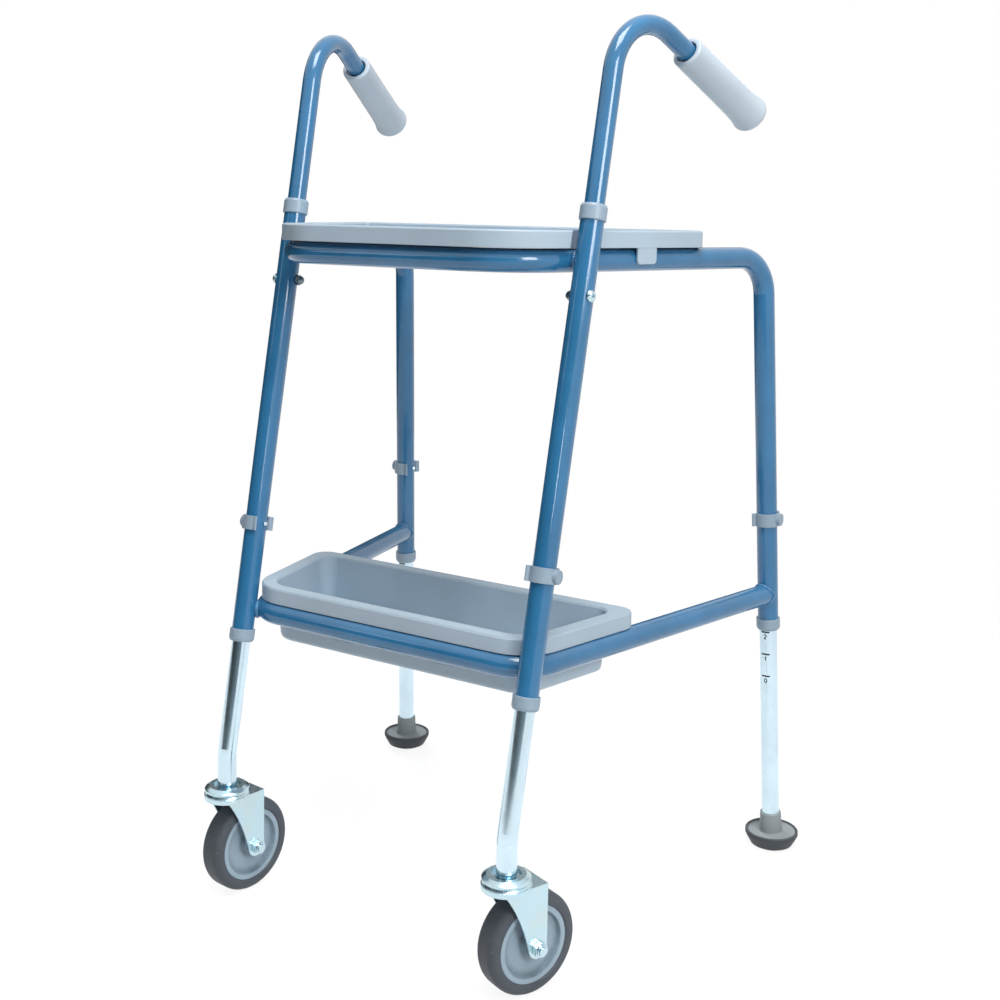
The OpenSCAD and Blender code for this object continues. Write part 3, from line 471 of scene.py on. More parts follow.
def scuff_group():
    """Fine rub marks: stretched noise cut to thin streaks, thinned out by broad noise."""
    inputs = {"Vector": None, "Stretch": None, "Amount": 0.3}
    tree, given, result = new_group("rub_marks", inputs, ["Mask"])
    sockets = {0: given["Vector"], 1: given["Stretch"]}
    stretched = place(tree, "ShaderNodeVectorMath", sockets, operation="MULTIPLY").outputs[0]
    streaks = map_range(tree, noise(tree, stretched, scale=1.0, detail=4.0, roughness=0.7), 0.56, 0.72)
    areas = map_range(tree, noise(tree, given["Vector"], scale=14.0), 0.42, 0.68)
    mask = math_node(tree, "MULTIPLY", streaks, areas)
    tree.links.new(math_node(tree, "MULTIPLY", mask, given["Amount"]), result["Mask"])
    return tree


GROUP_MAKERS = {
    "mould_grain": grain_group,
    "enamel_ripple": peel_group,
    "settled_dust": dust_group,
    "rub_marks": scuff_group,
}


def use_group(tree, name, **sockets):
    """Outputs of a shared group, made on first use and placed with its own values."""
    group = bpy.data.node_groups.get(name) or GROUP_MAKERS[name]()
    return place(tree, "ShaderNodeGroup", sockets, node_tree=group).outputs


def rub_marks(tree, vector, stretch, amount):
    """Mask of rub marks, which run along the direction with the least stretch."""
    return use_group(tree, "rub_marks", Vector=vector, Stretch=stretch, Amount=amount)["Mask"]


# Finishes


def principled(tree):
    """The shader of a finish."""
    return tree.nodes["Principled BSDF"]


def start_finish(name, **plain):
    """New material, with plain values on the shader's own sockets. Gives the material, its tree and its
    coordinates."""
    material = bpy.data.materials.new(name)
    material.use_nodes = True
    tree = material.node_tree
    for key, value in plain.items():
        socket = key.replace("_", " ").title().replace("Ior", "IOR")
        principled(tree).inputs[socket].default_value = value
    return material, tree, tree.nodes.new("ShaderNodeTexCoord").outputs


def link(tree, **wires):
    """Links sockets into the shader's inputs by name."""
    for key, socket in wires.items():
        tree.links.new(socket, principled(tree).inputs[key.replace("_", " ")])


def bump(tree, height, distance, strength, edge=None):
    """Bump from a height value into the shader's normal; an edge radius first softens sharp edges."""
    sockets = {"Height": height, "Distance": distance, "Strength": strength}
    if edge:
        sockets["Normal"] = place(tree, "ShaderNodeBevel", {"Radius": edge}, samples=6).outputs[0]
    link(tree, Normal=place(tree, "ShaderNodeBump", sockets).outputs[0])


def dusted(tree, coords, colour, dust_colour, amount):
    """Colour with settled dust over it, and the dust mask."""
    sockets = {"Vector": coords["Object"], "Normal": coords["Normal"], "Amount": amount}
    mask = use_group(tree, "settled_dust", **sockets)["Mask"]
    return mix_colour(tree, mask, colour, dust_colour), mask


def scaled(colour, factor):
    """Colour made darker or lighter."""
    return tuple(min(1.0, channel * factor) for channel in colour)


def tinted(colour, tint):
    """Colour multiplied by a tint, channel by channel."""
    return tuple(channel * share for channel, share in zip(colour, tint))


def enamel(finish):
    """Blue gloss enamel: rippled clear surface, uneven tone, a little dust on top."""
    plain = {"coat_weight": 0.4, "coat_roughness": 0.04, "ior": ENAMEL_IOR}
    material, tree, coords = start_finish("blue_enamel", **plain)
    peel = use_group(tree, "enamel_ripple", Vector=coords["Object"], Size=finish.paint_peel)
    tone = map_range(tree, peel["Tone"], *NOISE_SPAN)
    base = mix_colour(tree, tone, scaled(finish.paint, 0.9), scaled(finish.paint, 1.08))
    base, mask = dusted(tree, coords, base, finish.dust, amount=0.10)
    rough = map_range(tree, peel["Tone"], *NOISE_SPAN, 0.13, 0.20)
    link(tree, Base_Color=base, Roughness=math_node(tree, "ADD", rough, mask))
    bump(tree, peel["Height"], distance=0.00003, strength=0.25)
    return material


def moulded(name, colour, finish, *, roughness, depth, edge, dust):
    """Moulded plastic: grain, uneven tone, rub marks and dust."""
    material, tree, coords = start_finish(name, ior=PLASTIC_IOR)
    texture = use_group(tree, "mould_grain", Vector=coords["Object"], Size=finish.moulding_grain)
    scuff = rub_marks(tree, coords["Object"], stretch=(900.0, 160.0, 420.0), amount=0.25)
    tone = map_range(tree, texture["Tone"], *NOISE_SPAN)
    base = mix_colour(tree, tone, scaled(colour, 0.94), scaled(colour, 1.05))
    base = mix_colour(tree, scuff, base, scaled(colour, 1.18))
    base, mask = dusted(tree, coords, base, finish.dust, amount=dust)
    rough = map_range(tree, texture["Height"], *GRAIN_SPAN, roughness - 0.05, roughness + 0.07)
    rough = math_node(tree, "ADD", rough, math_node(tree, "MULTIPLY", scuff, 0.3))
    rough = math_node(tree, "ADD", rough, math_node(tree, "MULTIPLY", mask, 0.4), clamp=True)
    link(tree, Base_Color=base, Roughness=rough)
    bump(tree, texture["Height"], distance=depth, strength=0.6, edge=edge)
    return material


def bright_chrome(name, finish, roughness):
    """Chromed tube: polishing lines along the tube and faint haze."""
    material, tree, coords = start_finish(name, metallic=1.0)
    lines = rub_marks(tree, coords["Object"], stretch=(2600.0, 2600.0, 24.0), amount=0.5)
    haze = noise(tree, coords["Object"], scale=22.0, detail=4.0, roughness=0.6)
    hazed = map_range(tree, haze, 0.35, 0.7)
    base = mix_colour(tree, hazed, finish.chrome, scaled(finish.chrome, 0.90))
    base = mix_colour(tree, lines, base, scaled(finish.chrome, 0.82))
    rough = map_range(tree, haze, *NOISE_SPAN, roughness, roughness + 0.07)
    link(tree, Base_Color=base, Roughness=math_node(tree, "MULTIPLY_ADD", lines, 0.12, rough))
    bump(tree, lines, distance=0.00001, strength=0.3)
    return material


def plated_zinc(name, finish, roughness, warm, cool=(1.0, 1.0, 1.0)):
    """Zinc plating: cool and warm tints in soft clouds, fine spangle in the gloss."""
    material, tree, coords = start_finish(name, metallic=1.0)
    clouds = map_range(tree, noise(tree, coords["Object"], scale=45.0), 0.30, 0.72)
    base = mix_colour(tree, clouds, tinted(finish.zinc, cool), tinted(finish.zinc, warm))
    grain = use_group(tree, "mould_grain", Vector=coords["Object"], Size=finish.rubber_grain)
    rough = map_range(tree, grain["Height"], *GRAIN_SPAN, roughness - 0.06, roughness + 0.08)
    link(tree, Base_Color=base, Roughness=rough)
    bump(tree, grain["Height"], distance=0.00002, strength=0.12, edge=0.0005)
    return material


def wheel_coords(tree, coords, side):
    """Coordinates with the axle of that side's wheel along X and its middle at the origin."""
    axle = JOINTS[f"wheel_spin_{side}"]
    turn = math.atan2(axle["axis"][1], axle["axis"][0])
    sockets = {"Vector": coords["Object"], "Location": axle["pos_m"], "Rotation": (0.0, 0.0, turn)}
    return place(tree, "ShaderNodeMapping", sockets, vector_type="TEXTURE").outputs[0]


def axle_distance(tree, local):
    """Distance from the axle, from coordinates with the axle along X."""
    parts = place(tree, "ShaderNodeSeparateXYZ", {0: local})
    return flat_distance(tree, parts.outputs["Y"], parts.outputs["Z"])


def wheel_plastic(side, finish):
    """Wheel body: moulded plastic with a painted highlight on its pale rim and painted shade in the corners
    of its dish, by distance from the axle, broken up by noise."""
    name = f"wheel_plastic_{side}"
    material = moulded(name, finish.hub, finish, roughness=0.40, depth=0.00004, edge=0.0006, dust=0.06)
    tree = material.node_tree
    local = wheel_coords(tree, tree.nodes.new("ShaderNodeTexCoord").outputs, side)
    radius = axle_distance(tree, local)
    # Painted shade: the dish is darkened near its outer edge and round its boss, where shade falls in the
    # recess
    thickens = map_range(tree, radius, HUB_DISH_R - OUTER_DISH_SHADE, HUB_DISH_R - FADE)
    ends = map_range(tree, radius, HUB_DISH_R - FADE / 2, HUB_DISH_R + FADE, 1.0, 0.0)
    outer = math_node(tree, "MULTIPLY", thickens, ends)
    inner = map_range(tree, radius, HUB_BOSS_R, HUB_BOSS_R + INNER_DISH_SHADE, 1.0, 0.0)
    patches = map_range(tree, noise(tree, local, scale=120.0, detail=3.0), *NOISE_SPAN, 0.55, 1.0)
    painted_dish_shade = math_node(tree, "MULTIPLY", math_node(tree, "MAXIMUM", outer, inner), patches)
    unshaded_base = principled(tree).inputs["Base Color"].links[0].from_socket
    base = mix_colour(tree, math_node(tree, "MULTIPLY", painted_dish_shade, 0.55), unshaded_base, scaled(finish.hub, 0.42))
    # Painted highlight: the rim's lip beyond the dish is made paler
    rim = map_range(tree, radius, HUB_DISH_R + FADE / 2, HUB_DISH_R + 2 * FADE, 0.0, 0.5)
    link(tree, Base_Color=mix_colour(tree, rim, base, scaled(finish.hub, 1.22)))
    return material


def tyre_rubber(side, finish):
    """Tyre: dark rolled tread, paler side walls by distance from the axle, fine grain and floor scuffs."""
    material, tree, coords = start_finish(f"tyre_rubber_{side}", ior=DULL_IOR)
    local = wheel_coords(tree, coords, side)
    tread = map_range(tree, axle_distance(tree, local), WHEEL_R - TREAD_EDGE, WHEEL_R - FADE)
    texture = use_group(tree, "mould_grain", Vector=local, Size=finish.rubber_grain)
    scuff = rub_marks(tree, local, stretch=(700.0, 220.0, 220.0), amount=0.16)
    base = mix_colour(tree, tread, scaled(finish.tyre, 1.12), scaled(finish.tyre, 0.86))
    tone = map_range(tree, texture["Tone"], *NOISE_SPAN, 0.0, 0.5)
    base = mix_colour(tree, tone, base, scaled(finish.tyre, 0.9))
    base = mix_colour(tree, math_node(tree, "MULTIPLY", scuff, tread), base, finish.dust)
    rough = map_range(tree, texture["Height"], *RUBBER_SPAN, 0.48, 0.66)
    link(tree, Base_Color=base, Roughness=rough)
    bump(tree, texture["Height"], distance=0.00006, strength=0.6)
    return material


def foot_rubber(finish):
    """Foot: grey socket and dish; the rim, bowl and underside are painted dark as shade; a little dust."""
    material, tree, coords = start_finish("foot_rubber", ior=DULL_IOR)
    spot = place(tree, "ShaderNodeSeparateXYZ", {0: coords["Object"]}).outputs
    foot_x, foot_y, _ = MOUNTS["foot_pad_right"]["pos_m"]
    across = math_node(tree, "SUBTRACT", math_node(tree, "ABSOLUTE", spot["X"]), foot_x)
    along = math_node(tree, "SUBTRACT", spot["Y"], foot_y)
    radius = flat_distance(tree, across, along)
    inside = map_range(tree, radius, FOOT_DISH_R, FOOT_DISH_R + 0.8 * FADE, 1.0, 0.0)
    over_sole = map_range(tree, spot["Z"], FOOT_SOLE_TOP - FADE / 2, FOOT_SOLE_TOP + FADE / 2)
    pale = math_node(tree, "MULTIPLY", inside, over_sole)
    texture = use_group(tree, "mould_grain", Vector=coords["Object"], Size=finish.rubber_grain)
    # Painted shade: outside the dish and low on the foot the dark shade colour replaces the grey
    base = mix_colour(tree, pale, finish.painted_foot_shade, finish.foot)
    base, mask = dusted(tree, coords, base, finish.dust, amount=0.20)
    rough = map_range(tree, texture["Height"], *RUBBER_SPAN, 0.50, 0.68)
    link(tree, Base_Color=base, Roughness=math_node(tree, "MULTIPLY_ADD", mask, 0.2, rough))
    bump(tree, texture["Height"], distance=0.00006, strength=0.6, edge=0.0008)
    return material


def print_ink(finish):
    """Screen-printed ink: near black, slightly worn."""
    material, tree, coords = start_finish("mark_ink", ior=DULL_IOR)
    specks = noise(tree, coords["Object"], scale=900.0, detail=3.0)
    wear = map_range(tree, specks, 0.55, 0.8, 0.0, 0.5)
    base = mix_colour(tree, wear, finish.ink, scaled(finish.chrome, 0.5))
    link(tree, Base_Color=base, Roughness=map_range(tree, wear, 0.0, 0.5, 0.42, 0.6))
    return material


def dress(names, material):
    """Gives CAD nodes a finish."""
    for name in names:
        slots = frame["nodes"][name].data.materials
        slots.clear()
        slots.append(material)


def both(*stems):
    """Right and left node names of each stem."""
    return [f"{stem}_{side}" for stem in stems for side in SIDES]


class WALKER_OT_frame_paint(bpy.types.Operator):
    """Blue enamel on the rails, front legs and handle tubes"""

    bl_idname = "walker.frame_paint"
    bl_label = "Frame paint"

    def execute(self, context):
        tubes = ["upper_rail", "lower_rail"] + both("front_leg", "handle_tube")
        dress(tubes, enamel(context.scene.walker_finish))
        return {"FINISHED"}


class WALKER_OT_mouldings(bpy.types.Operator):
    """Grey plastic on the tray, basket, collars and clips"""

    bl_idname = "walker.mouldings"
    bl_label = "Mouldings"

    def execute(self, context):
        finish = context.scene.walker_finish
        shell = moulded(
            "shell_plastic", finish.moulding, finish, roughness=0.40, depth=0.00005, edge=0.0010, dust=0.10
        )
        small = moulded(
            "collar_plastic", finish.collar, finish, roughness=0.36, depth=0.00003, edge=0.0006, dust=0.06
        )
        dress(["tray", "basket"], shell)
        dress(both("handle_collar", "front_collar", "rear_collar"), small)
        dress(both("front_clip_band", "rear_clip_band"), small)
        return {"FINISHED"}


class WALKER_OT_grips(bpy.types.Operator):
    """Soft vinyl on the handle grips"""

    bl_idname = "walker.grips"
    bl_label = "Grips"

    def execute(self, context):
        finish = context.scene.walker_finish
        vinyl = moulded(
            "grip_vinyl", finish.grip, finish, roughness=0.46, depth=0.00004, edge=0.0016, dust=0.05
        )
        dress(both("handle_grip"), vinyl)
        return {"FINISHED"}


class WALKER_OT_leg_chrome(bpy.types.Operator):
    """Chrome on the inner leg tubes, brighter in front"""

    bl_idname = "walker.leg_chrome"
    bl_label = "Leg chrome"

    def execute(self, context):
        finish = context.scene.walker_finish
        dress(both("front_inner_tube"), bright_chrome("tube_chrome", finish, roughness=0.11))
        dress(both("rear_inner_tube"), bright_chrome("satin_chrome", finish, roughness=0.24))
        return {"FINISHED"}


class WALKER_OT_casters(bpy.types.Operator):
    """Zinc on the pressed caster parts, plastic wheel bodies and rubber tyres"""

    bl_idname = "walker.casters"
    bl_label = "Casters"

    def execute(self, context):
        finish = context.scene.walker_finish
        pressed = plated_zinc(
            "pressed_zinc", finish, roughness=0.24, warm=(1.0, 0.97, 0.92), cool=(0.94, 1.0, 1.03)
        )
        dress(both("caster_stem", "caster_fork"), pressed)
        turned = plated_zinc("turned_zinc", finish, roughness=0.18, warm=(0.97, 0.97, 0.95))
        dress(both("race_balls", "axle_bolt", "axle_nut", "wheel_bush"), turned)
        for side in SIDES:
            dress([f"wheel_hub_{side}"], wheel_plastic(side, finish))
            dress([f"wheel_tyre_{side}"], tyre_rubber(side, finish))
        return {"FINISHED"}


class WALKER_OT_feet(bpy.types.Operator):
    """Rubber on the rear feet and zinc on their washers"""

    bl_idname = "walker.feet"
    bl_label = "Rear feet"

    def execute(self, context):
        finish = context.scene.walker_finish
        dress(both("foot"), foot_rubber(finish))
        washer = plated_zinc("washer_zinc", finish, roughness=0.3, warm=(0.95, 0.95, 0.93))
        dress(both("foot_washer"), washer)
        return {"FINISHED"}


class WALKER_OT_fasteners(bpy.types.Operator):
    """Bright plating on the handle screws and locking pins, dark plating on the nuts"""

    bl_idname = "walker.fasteners"
    bl_label = "Fasteners"

    def execute(self, context):
        finish = context.scene.walker_finish
        plating = plated_zinc("screw_zinc", finish, roughness=0.16, warm=(0.98, 0.98, 0.96))
        dress(["handle_bolts"] + both("front_clip_pin", "rear_clip_pin"), plating)
        dark = plated_zinc(
            "nut_zinc", finish, roughness=0.30, warm=(0.36, 0.35, 0.33), cool=(0.30, 0.31, 0.33)
        )
        dress(["handle_nuts"], dark)
        return {"FINISHED"}


# Weld beads


def rippled(angle, ring_r, spacing):
    """Shares of a bead's radius at angles round its ring, with a whole number of ripples."""
    ripples = round(2.0 * np.pi * ring_r / spacing)
    return 1.0 + RIPPLE_SHARE * np.cos(ripples * angle)


def rail_drop(across, bend_r):
    """How far a tube's side falls away below its touching point, at (along, up) places in the touching
    plane: a straight tube by its own roundness, a bent one also by the sweep of its bend."""
    along, up = across[:, 0], across[:, 1]
    reach = np.sqrt(TUBE_R**2 - up**2)
    if bend_r:
        return bend_r + TUBE_R - np.sqrt((bend_r + reach) ** 2 - along**2)
    return TUBE_R - reach


def touch_bead(touch, normal, along, bend_r, detail):
    """Weld ring round the touch of a rail and the front leg. The ring is a circle in the touching plane,
    lifted to half way between the two tubes, and as thick as the gap there plus its lap on to both, with
    ripples along it."""
    angle = full_turn(TOUCH_BEAD_STEPS)
    up = np.cross(normal, along)
    across = detail.bead_ring * np.stack([np.cos(angle), np.sin(angle)], -1)
    slant = unit(np.array([FRONT_LEG_RISE @ along, FRONT_LEG_RISE @ up]))
    off_leg = across[:, 0] * slant[1] - across[:, 1] * slant[0]
    low = -rail_drop(across, bend_r)
    high = WELD_GAP + TUBE_R - np.sqrt(TUBE_R**2 - off_leg**2)
    path = touch + across[:, :1] * along + across[:, 1:] * up + ((low + high) / 2)[:, None] * normal
    radius = ((high - low) / 2 + detail.bead_lap) * rippled(angle, detail.bead_ring, detail.ripple)
    return bead_on_path(path, radius, TOUCH_BEAD_SIDES)


def nearest(first, first_way, second, second_way):
    """Points of two lines that lie nearest to each other."""
    normal = np.cross(first_way, second_way)
    t = np.dot(np.cross(second - first, second_way), normal) / np.dot(normal, normal)
    s = np.dot(np.cross(second - first, first_way), normal) / np.dot(normal, normal)
    return first + t * first_way, second + s * second_way


def upper_touch():
    """Touch of the upper side rail and the front leg: place on the rail, way to the leg, rail's way."""
    on_rail, on_leg = nearest(rear_leg(UPPER_RAIL_Z), UPPER_RAIL_WAY, front_leg(0.0), FRONT_LEG_RISE)
    normal = unit(on_leg - on_rail)
    return on_rail + TUBE_R * normal, normal, UPPER_RAIL_WAY


def lower_touch():
    """Touch of the lower rail's corner bend and the front leg, given in the same way."""
    normal = unit(front_leg(LOWER_RAIL_Z) - LOWER_BEND_CENTRE)
    along = np.array([-normal[1], normal[0], 0.0])
    return LOWER_BEND_CENTRE + (LOWER_BEND_R + TUBE_R) * normal, normal, along


def cope_bead(detail):
    """Weld round the coped end of the lower rail: for each angle round the rail, the point of its surface
    that lies on the rear leg's surface, found from the quadratic in the distance along the rail; rippled
    round bead."""
    angle = full_turn(COPE_BEAD_STEPS)
    way = LOWER_RAIL_WAY
    side = np.array([way[1], -way[0], 0.0])
    up = np.array([0.0, 0.0, 1.0])
    leg_way = unit(REAR_LEG_RISE)
    around = TUBE_R * (np.cos(angle)[:, None] * side + np.sin(angle)[:, None] * up)
    offset = around - (around @ leg_way)[:, None] * leg_way
    step = way - (way @ leg_way) * leg_way
    a = step @ step
    b = 2.0 * offset @ step
    c = (offset**2).sum(1) - (TUBE_R + detail.bead_lap) ** 2
    along = (-b - np.sqrt(np.maximum(b**2 - 4.0 * a * c, 0.0))) / (2.0 * a)
    path = rear_leg(LOWER_RAIL_Z) + around + along[:, None] * way
    radius = detail.cope_bead * rippled(angle, TUBE_R, detail.ripple)
    return bead_on_path(path, radius, COPE_BEAD_SIDES)


class WALKER_OT_weld_beads(bpy.types.Operator):
    """Painted weld beads where the legs meet the rails"""

    bl_idname = "walker.weld_beads"
    bl_label = "Weld beads"

    def execute(self, context):
        detail = context.scene.walker_detail
        paint = bpy.data.materials["blue_enamel"]
        beads = {
            "upper_weld": touch_bead(*upper_touch(), 0.0, detail),
            "lower_weld": touch_bead(*lower_touch(), LOWER_BEND_R, detail),
            "cope_weld": cope_bead(detail),
        }
        for stem, grid in beads.items():
            for side, sign in SIDES.items():
                made = surface_object(f"{stem}_{side}", [(mirrored(grid, sign), True, True)], paint)
                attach(made, "frame")
        return {"FINISHED"}


# Height marks


def arc(x, y, width, height, start, end, count):
    """Points of an elliptic arc, angles in degrees."""
    angle = np.radians(np.linspace(start, end, count))
    return np.stack([x + width * np.cos(angle), y + height * np.sin(angle)], -1)


def line(*corners, count=8):
    """Points along straight strokes."""
    corners = np.array(corners, float)
    share = np.linspace(0.0, 1.0, count)[:, None]
    return np.concatenate([a + share * (b - a) for a, b in zip(corners[:-1], corners[1:])])


def numeral_strokes(number):
    """Strokes of a plain numeral in a box 0.6 wide and 1 high, standing on y = 0; each is a list of the
    arcs and lines that follow each other in it."""
    strokes = {
        0: [[arc(0.0, 0.5, 0.28, 0.5, 90, 450, 48)]],
        1: [[line((-0.16, 0.80), (0.04, 1.0), (0.04, 0.0))]],
        2: [[arc(0.0, 0.72, 0.28, 0.28, 165, -35, 26), line((0.21, 0.54), (-0.28, 0.0), (0.3, 0.0))]],
        3: [[arc(-0.02, 0.75, 0.26, 0.25, 150, -80, 26)], [arc(-0.02, 0.26, 0.3, 0.26, 80, -150, 28)]],
        4: [[line((0.12, 0.0), (0.12, 1.0), (-0.3, 0.28), (0.32, 0.28))]],
        5: [[line((0.26, 1.0), (-0.22, 1.0), (-0.26, 0.55)), arc(-0.02, 0.32, 0.3, 0.32, 130, -150, 30)]],
        6: [[arc(0.1, 0.5, 0.38, 0.5, 75, 180, 24), arc(0.0, 0.3, 0.28, 0.3, 180, 540, 40)]],
    }
    return [np.concatenate(stroke) for stroke in strokes[number]]


def ink_stroke(stroke, width, thickness, roll):
    """Printed stroke: a flat rounded bead carried along a plane curve, its section a flattened ellipse that
    shrinks to nothing at both ends, then rolled on to the tube."""
    tangent = unit(np.gradient(stroke, axis=0) + TINY)
    across = np.stack([-tangent[:, 1], tangent[:, 0]], -1)
    travelled = np.concatenate([[0.0], np.cumsum(np.linalg.norm(np.diff(stroke, axis=0), axis=1))])
    share = np.minimum(travelled, travelled[-1] - travelled) / (width / 2)
    taper = np.sqrt(np.clip(share, 0.0, 1.0))[:, None]
    angle = full_turn(STROKE_SIDES)
    flat = stroke[:, None, :] + (taper * np.cos(angle))[..., None] * across[:, None, :] * width / 2
    return roll(flat, taper * np.sin(angle) * thickness)


def on_rear_tube(height):
    """Rolls plane points (across, up) and their lift on to the front face of the right rear inner tube,
    with up measured along the tube from a point of its axis at that height: angle = across / radius."""
    origin = rear_leg(height)
    way = unit(REAR_LEG_RISE)
    ahead = unit(np.array([0.0, -1.0, 0.0]) + way[1] * way)
    side = np.cross(way, -ahead)

    def roll(flat, lift):
        angle = flat[..., 0] / INNER_TUBE_R
        radius = INNER_TUBE_R + lift
        ring = np.cos(angle)[..., None] * ahead - np.sin(angle)[..., None] * side
        return origin + radius[..., None] * ring + flat[..., 1:] * way

    return roll


def setting_marks(setting, sign, detail):
    """Tick and numeral of one height setting, rolled on to the tube. The numeral hangs below its tick, and
    is turned over for the left side, so that it reads right once that side is mirrored."""
    roll = on_rear_tube(COLLAR_EDGE_Z + (setting - SETTING_NOW) * HOLE_PITCH)
    half = detail.tick_length / 2
    tick = line((-half, 0.0), (half, 0.0), count=TICK_STEPS)
    sheets = [ink_stroke(tick, detail.tick_width, detail.ink_height, roll)]
    hang = np.array([0.0, detail.numeral_height + NUMERAL_SPACE * detail.tick_width])
    for stroke in numeral_strokes(setting):
        drawn = stroke * detail.numeral_height * np.array([sign, 1.0]) - hang
        sheets.append(ink_stroke(drawn, detail.stroke_width, detail.ink_height, roll))
    return sheets


class WALKER_OT_height_marks(bpy.types.Operator):
    """Printed ticks and numerals, one for each height setting, on the rear inner tubes"""

    bl_idname = "walker.height_marks"
    bl_label = "Height marks"

    def execute(self, context):
        detail = context.scene.walker_detail
        ink = print_ink(context.scene.walker_finish)
        for side, sign in SIDES.items():
            sheets = []
            for setting in range(HEIGHT_SETTINGS):
                marks = setting_marks(setting, sign, detail)
                sheets += [(mirrored(mark, sign), False, True) for mark in marks]
            made = surface_object(f"height_marks_{side}", sheets, ink)
            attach(made, f"rear_leg_lower_{side}")
        return {"FINISHED"}


# Stage


def stage_sheet(name, grid, material_name):
    """Open sheet from a grid of points, with an empty material; gives the object and its node tree."""
    material = bpy.data.materials.new(material_name)
    material.use_nodes = True
    material.node_tree.nodes.clear()
    sheet = mesh_object(name, grid.reshape(-1, 3), grid_faces(*grid.shape[:2]), material)
    return sheet, material.node_tree


def seen_ray(tree):
    """One for a ray from the camera, a reflection or a view through glass, else nought."""
    path = tree.nodes.new("ShaderNodeLightPath")
    direct = math_node(tree, "ADD", path.outputs["Is Camera Ray"], path.outputs["Is Glossy Ray"])
    return math_node(tree, "ADD", direct, path.outputs["Is Transmission Ray"], clamp=True)


def grey(tone):
    """Grey of a linear tone."""
    return (tone, tone, tone)


def stage_floor():
    """Wide pale floor with the object's soft shadow on it: a clear sheet that shows the white surroundings
    through a faint diffuse veil, so that a leg drawn out below it still shows."""
    span = np.linspace(-FLOOR_REACH, FLOOR_REACH, FLOOR_LINES)
    x, y = np.meshgrid(span, span, indexing="ij")
    floor, tree = stage_sheet("stage_floor", np.stack([x, y, np.zeros_like(x)], -1), "floor_white")
    coords = tree.nodes.new("ShaderNodeTexCoord").outputs
    far = map_range(tree, vector_length(tree, coords["Object"]), *SHADOW_FADE)
    veil = place(tree, "ShaderNodeBsdfDiffuse", {"Color": mix_colour(tree, far, grey(VEIL_TONE), grey(0.0))})
    clear_tone = mix_colour(tree, far, grey(CLEAR_TONE), grey(1.0))
    clear = place(tree, "ShaderNodeBsdfTransparent", {"Color": clear_tone})
    veiled = place(tree, "ShaderNodeAddShader", {0: veil.outputs[0], 1: clear.outputs[0]})
    plain = place(tree, "ShaderNodeBsdfDiffuse", {"Color": (*grey(BOUNCE_TONE), 1.0)})
    sockets = {0: seen_ray(tree), 1: plain.outputs[0], 2: veiled.outputs[0]}
    surface = place(tree, "ShaderNodeMixShader", sockets)
    place(tree, "ShaderNodeOutputMaterial", {"Surface": surface.outputs[0]})
    floor.visible_shadow = False
    floor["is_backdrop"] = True


def dark_room():
    """Dim curved wall behind the camera, seen only in reflections: part of a cylinder about the object,
    darkest at the left, which draws the dark streaks on chrome and the dark edges of the paint."""
    turn = np.radians(np.linspace(*WALL_BEARINGS, WALL_LINES))
    turn, height = np.meshgrid(turn, np.array([0.0, WALL_TOP]), indexing="ij")
    grid = np.stack([WALL_R * np.sin(turn), -WALL_R * np.cos(turn), height], -1)
    wall, tree = stage_sheet("dark_room", grid, "dark_room")
    coords = tree.nodes.new("ShaderNodeTexCoord").outputs
    spot = place(tree, "ShaderNodeSeparateXYZ", {0: coords["Object"]}).outputs
    shade = map_range(tree, spot["X"], *WALL_SHADES)
    colour = mix_colour(tree, shade, srgb(44, 49, 48), srgb(112, 126, 134))
    glow = place(tree, "ShaderNodeEmission", {"Color": colour, "Strength": 1.0})
    place(tree, "ShaderNodeOutputMaterial", {"Surface": glow.outputs[0]})
    wall.visible_camera = False
    wall.visible_diffuse = False
    wall.visible_shadow = False
    wall.visible_transmission = False
    wall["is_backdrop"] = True


def soft_lamp(name, stand, look_z, size, power, mirrored_too=True):
    """Area lamp turned to a height over the middle of the floor; one that isn't mirrored gives soft light
    and no highlight."""
    data = bpy.data.lights.new(name, "AREA")
    data.shape = "RECTANGLE"
    data.size, data.size_y = size
    data.energy = power
    lamp = bpy.data.objects.new(name, data)
    bpy.context.scene.collection.objects.link(lamp)
    lamp.location = stand
    lamp.visible_glossy = mirrored_too
    aim = Vector((0.0, 0.0, look_z)) - Vector(stand)
    lamp.rotation_euler = aim.to_track_quat("-Z", "Y").to_euler()


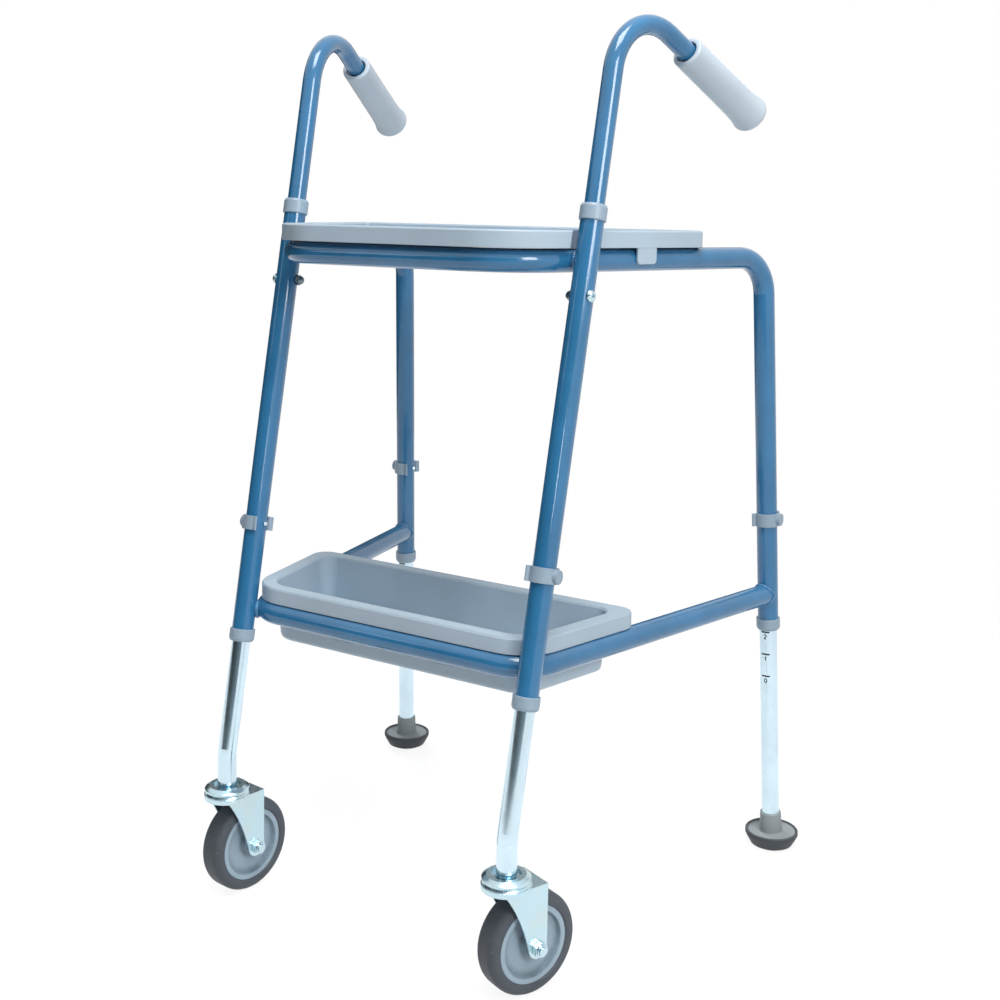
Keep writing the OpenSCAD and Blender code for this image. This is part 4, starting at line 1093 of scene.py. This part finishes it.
class WALKER_OT_stage(bpy.types.Operator):
    """Floor, light and camera"""

    bl_idname = "walker.stage"
    bl_label = "Stage"

    def execute(self, context):
        scene = context.scene
        stage = scene.walker_stage
        scene.view_settings.view_transform = "Standard"
        stage_floor()
        dark_room()
        soft_lamp("right_strip", (1.90, -0.89, 1.40), 0.6, (0.8, 0.75), stage.key_power)
        soft_lamp("overhead_softbox", (0.55, -0.6, 2.5), 0.4, (1.1, 1.1), stage.top_power)
        soft_lamp("back_softbox", (-1.9, 1.2, 1.5), 0.5, (1.4, 1.4), stage.back_power, mirrored_too=False)
        soft_lamp("camera_lamp", (1.03, -1.28, 0.66), 0.46, (0.10, 0.18), stage.spot_power)
        soft_lamp("left_lamp", (-1.5, -2.0, 1.3), 0.7, (0.3, 0.5), stage.spot_power)
        self.world(scene, stage.ambient)
        self.camera(scene, stage)
        return {"FINISHED"}

    def world(self, scene, ambient):
        """White for what the camera and reflections see, soft light for the rest."""
        world = bpy.data.worlds.new("studio")
        scene.world = world
        world.use_nodes = True
        tree = world.node_tree
        tree.nodes.clear()
        white = place(tree, "ShaderNodeBackground", {"Color": (1.0, 1.0, 1.0, 1.0), "Strength": 1.0})
        soft = place(tree, "ShaderNodeBackground", {"Color": (0.97, 0.985, 1.0, 1.0), "Strength": ambient})
        sockets = {0: seen_ray(tree), 1: soft.outputs[0], 2: white.outputs[0]}
        mixed = place(tree, "ShaderNodeMixShader", sockets)
        place(tree, "ShaderNodeOutputWorld", {"Surface": mixed.outputs[0]})

    def camera(self, scene, stage):
        """Camera at the photograph's viewing angle."""
        data = bpy.data.cameras.new("view")
        data.sensor_fit = "AUTO"
        data.sensor_width = SENSOR_WIDTH
        data.lens = stage.focal_length
        data.shift_y = stage.view_shift
        data.clip_start = CLIP_START
        camera = bpy.data.objects.new("view", data)
        scene.collection.objects.link(camera)
        turn = Matrix.Rotation(stage.camera_heading, 4, "Z")
        tilt = Matrix.Rotation(math.pi / 2 - stage.camera_pitch, 4, "X")
        roll = Matrix.Rotation(stage.camera_roll, 4, "Z")
        camera.matrix_world = Matrix.Translation(stage.camera_place) @ turn @ tilt @ roll
        scene.camera = camera


class WALKER_PT_sidebar(bpy.types.Panel):
    """Settings and steps of the walker"""

    bl_idname = "WALKER_PT_sidebar"
    bl_label = "Indoor walker"
    bl_space_type = "VIEW_3D"
    bl_region_type = "UI"
    bl_category = "Walker"

    def draw(self, context):
        scene = context.scene
        for group in (scene.walker_finish, scene.walker_detail, scene.walker_stage):
            box = self.layout.box()
            for name in group.bl_rna.properties.keys():
                if name not in ("rna_type", "name"):
                    box.prop(group, name)
        for step in STEPS:
            self.layout.operator(step.bl_idname)


STEPS = (
    WALKER_OT_stage,
    WALKER_OT_frame_paint,
    WALKER_OT_mouldings,
    WALKER_OT_grips,
    WALKER_OT_leg_chrome,
    WALKER_OT_casters,
    WALKER_OT_feet,
    WALKER_OT_fasteners,
    WALKER_OT_weld_beads,
    WALKER_OT_height_marks,
)
GROUPS = {"walker_finish": WalkerFinish, "walker_detail": WalkerDetail, "walker_stage": WalkerStage}
CLASSES = (*GROUPS.values(), *STEPS, WALKER_PT_sidebar)


def register():
    """Registers the classes and hangs the settings on the scene."""
    for cls in CLASSES:
        bpy.utils.register_class(cls)
    for name, group in GROUPS.items():
        setattr(bpy.types.Scene, name, PointerProperty(type=group))


def unregister():
    """Takes the settings and classes away again."""
    for name in GROUPS:
        delattr(bpy.types.Scene, name)
    for cls in reversed(CLASSES):
        bpy.utils.unregister_class(cls)


def main():
    """Runs every step in order."""
    register()
    bpy.ops.walker.stage()
    bpy.ops.walker.frame_paint()
    bpy.ops.walker.mouldings()
    bpy.ops.walker.grips()
    bpy.ops.walker.leg_chrome()
    bpy.ops.walker.casters()
    bpy.ops.walker.feet()
    bpy.ops.walker.fasteners()
    bpy.ops.walker.weld_beads()
    bpy.ops.walker.height_marks()
    boxes = {"cad": CAD_BOX, "visual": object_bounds()}
    {key: [list(map(float, corner)) for corner in box] for key, box in boxes.items()}


if __name__ == "__main__":
    main()
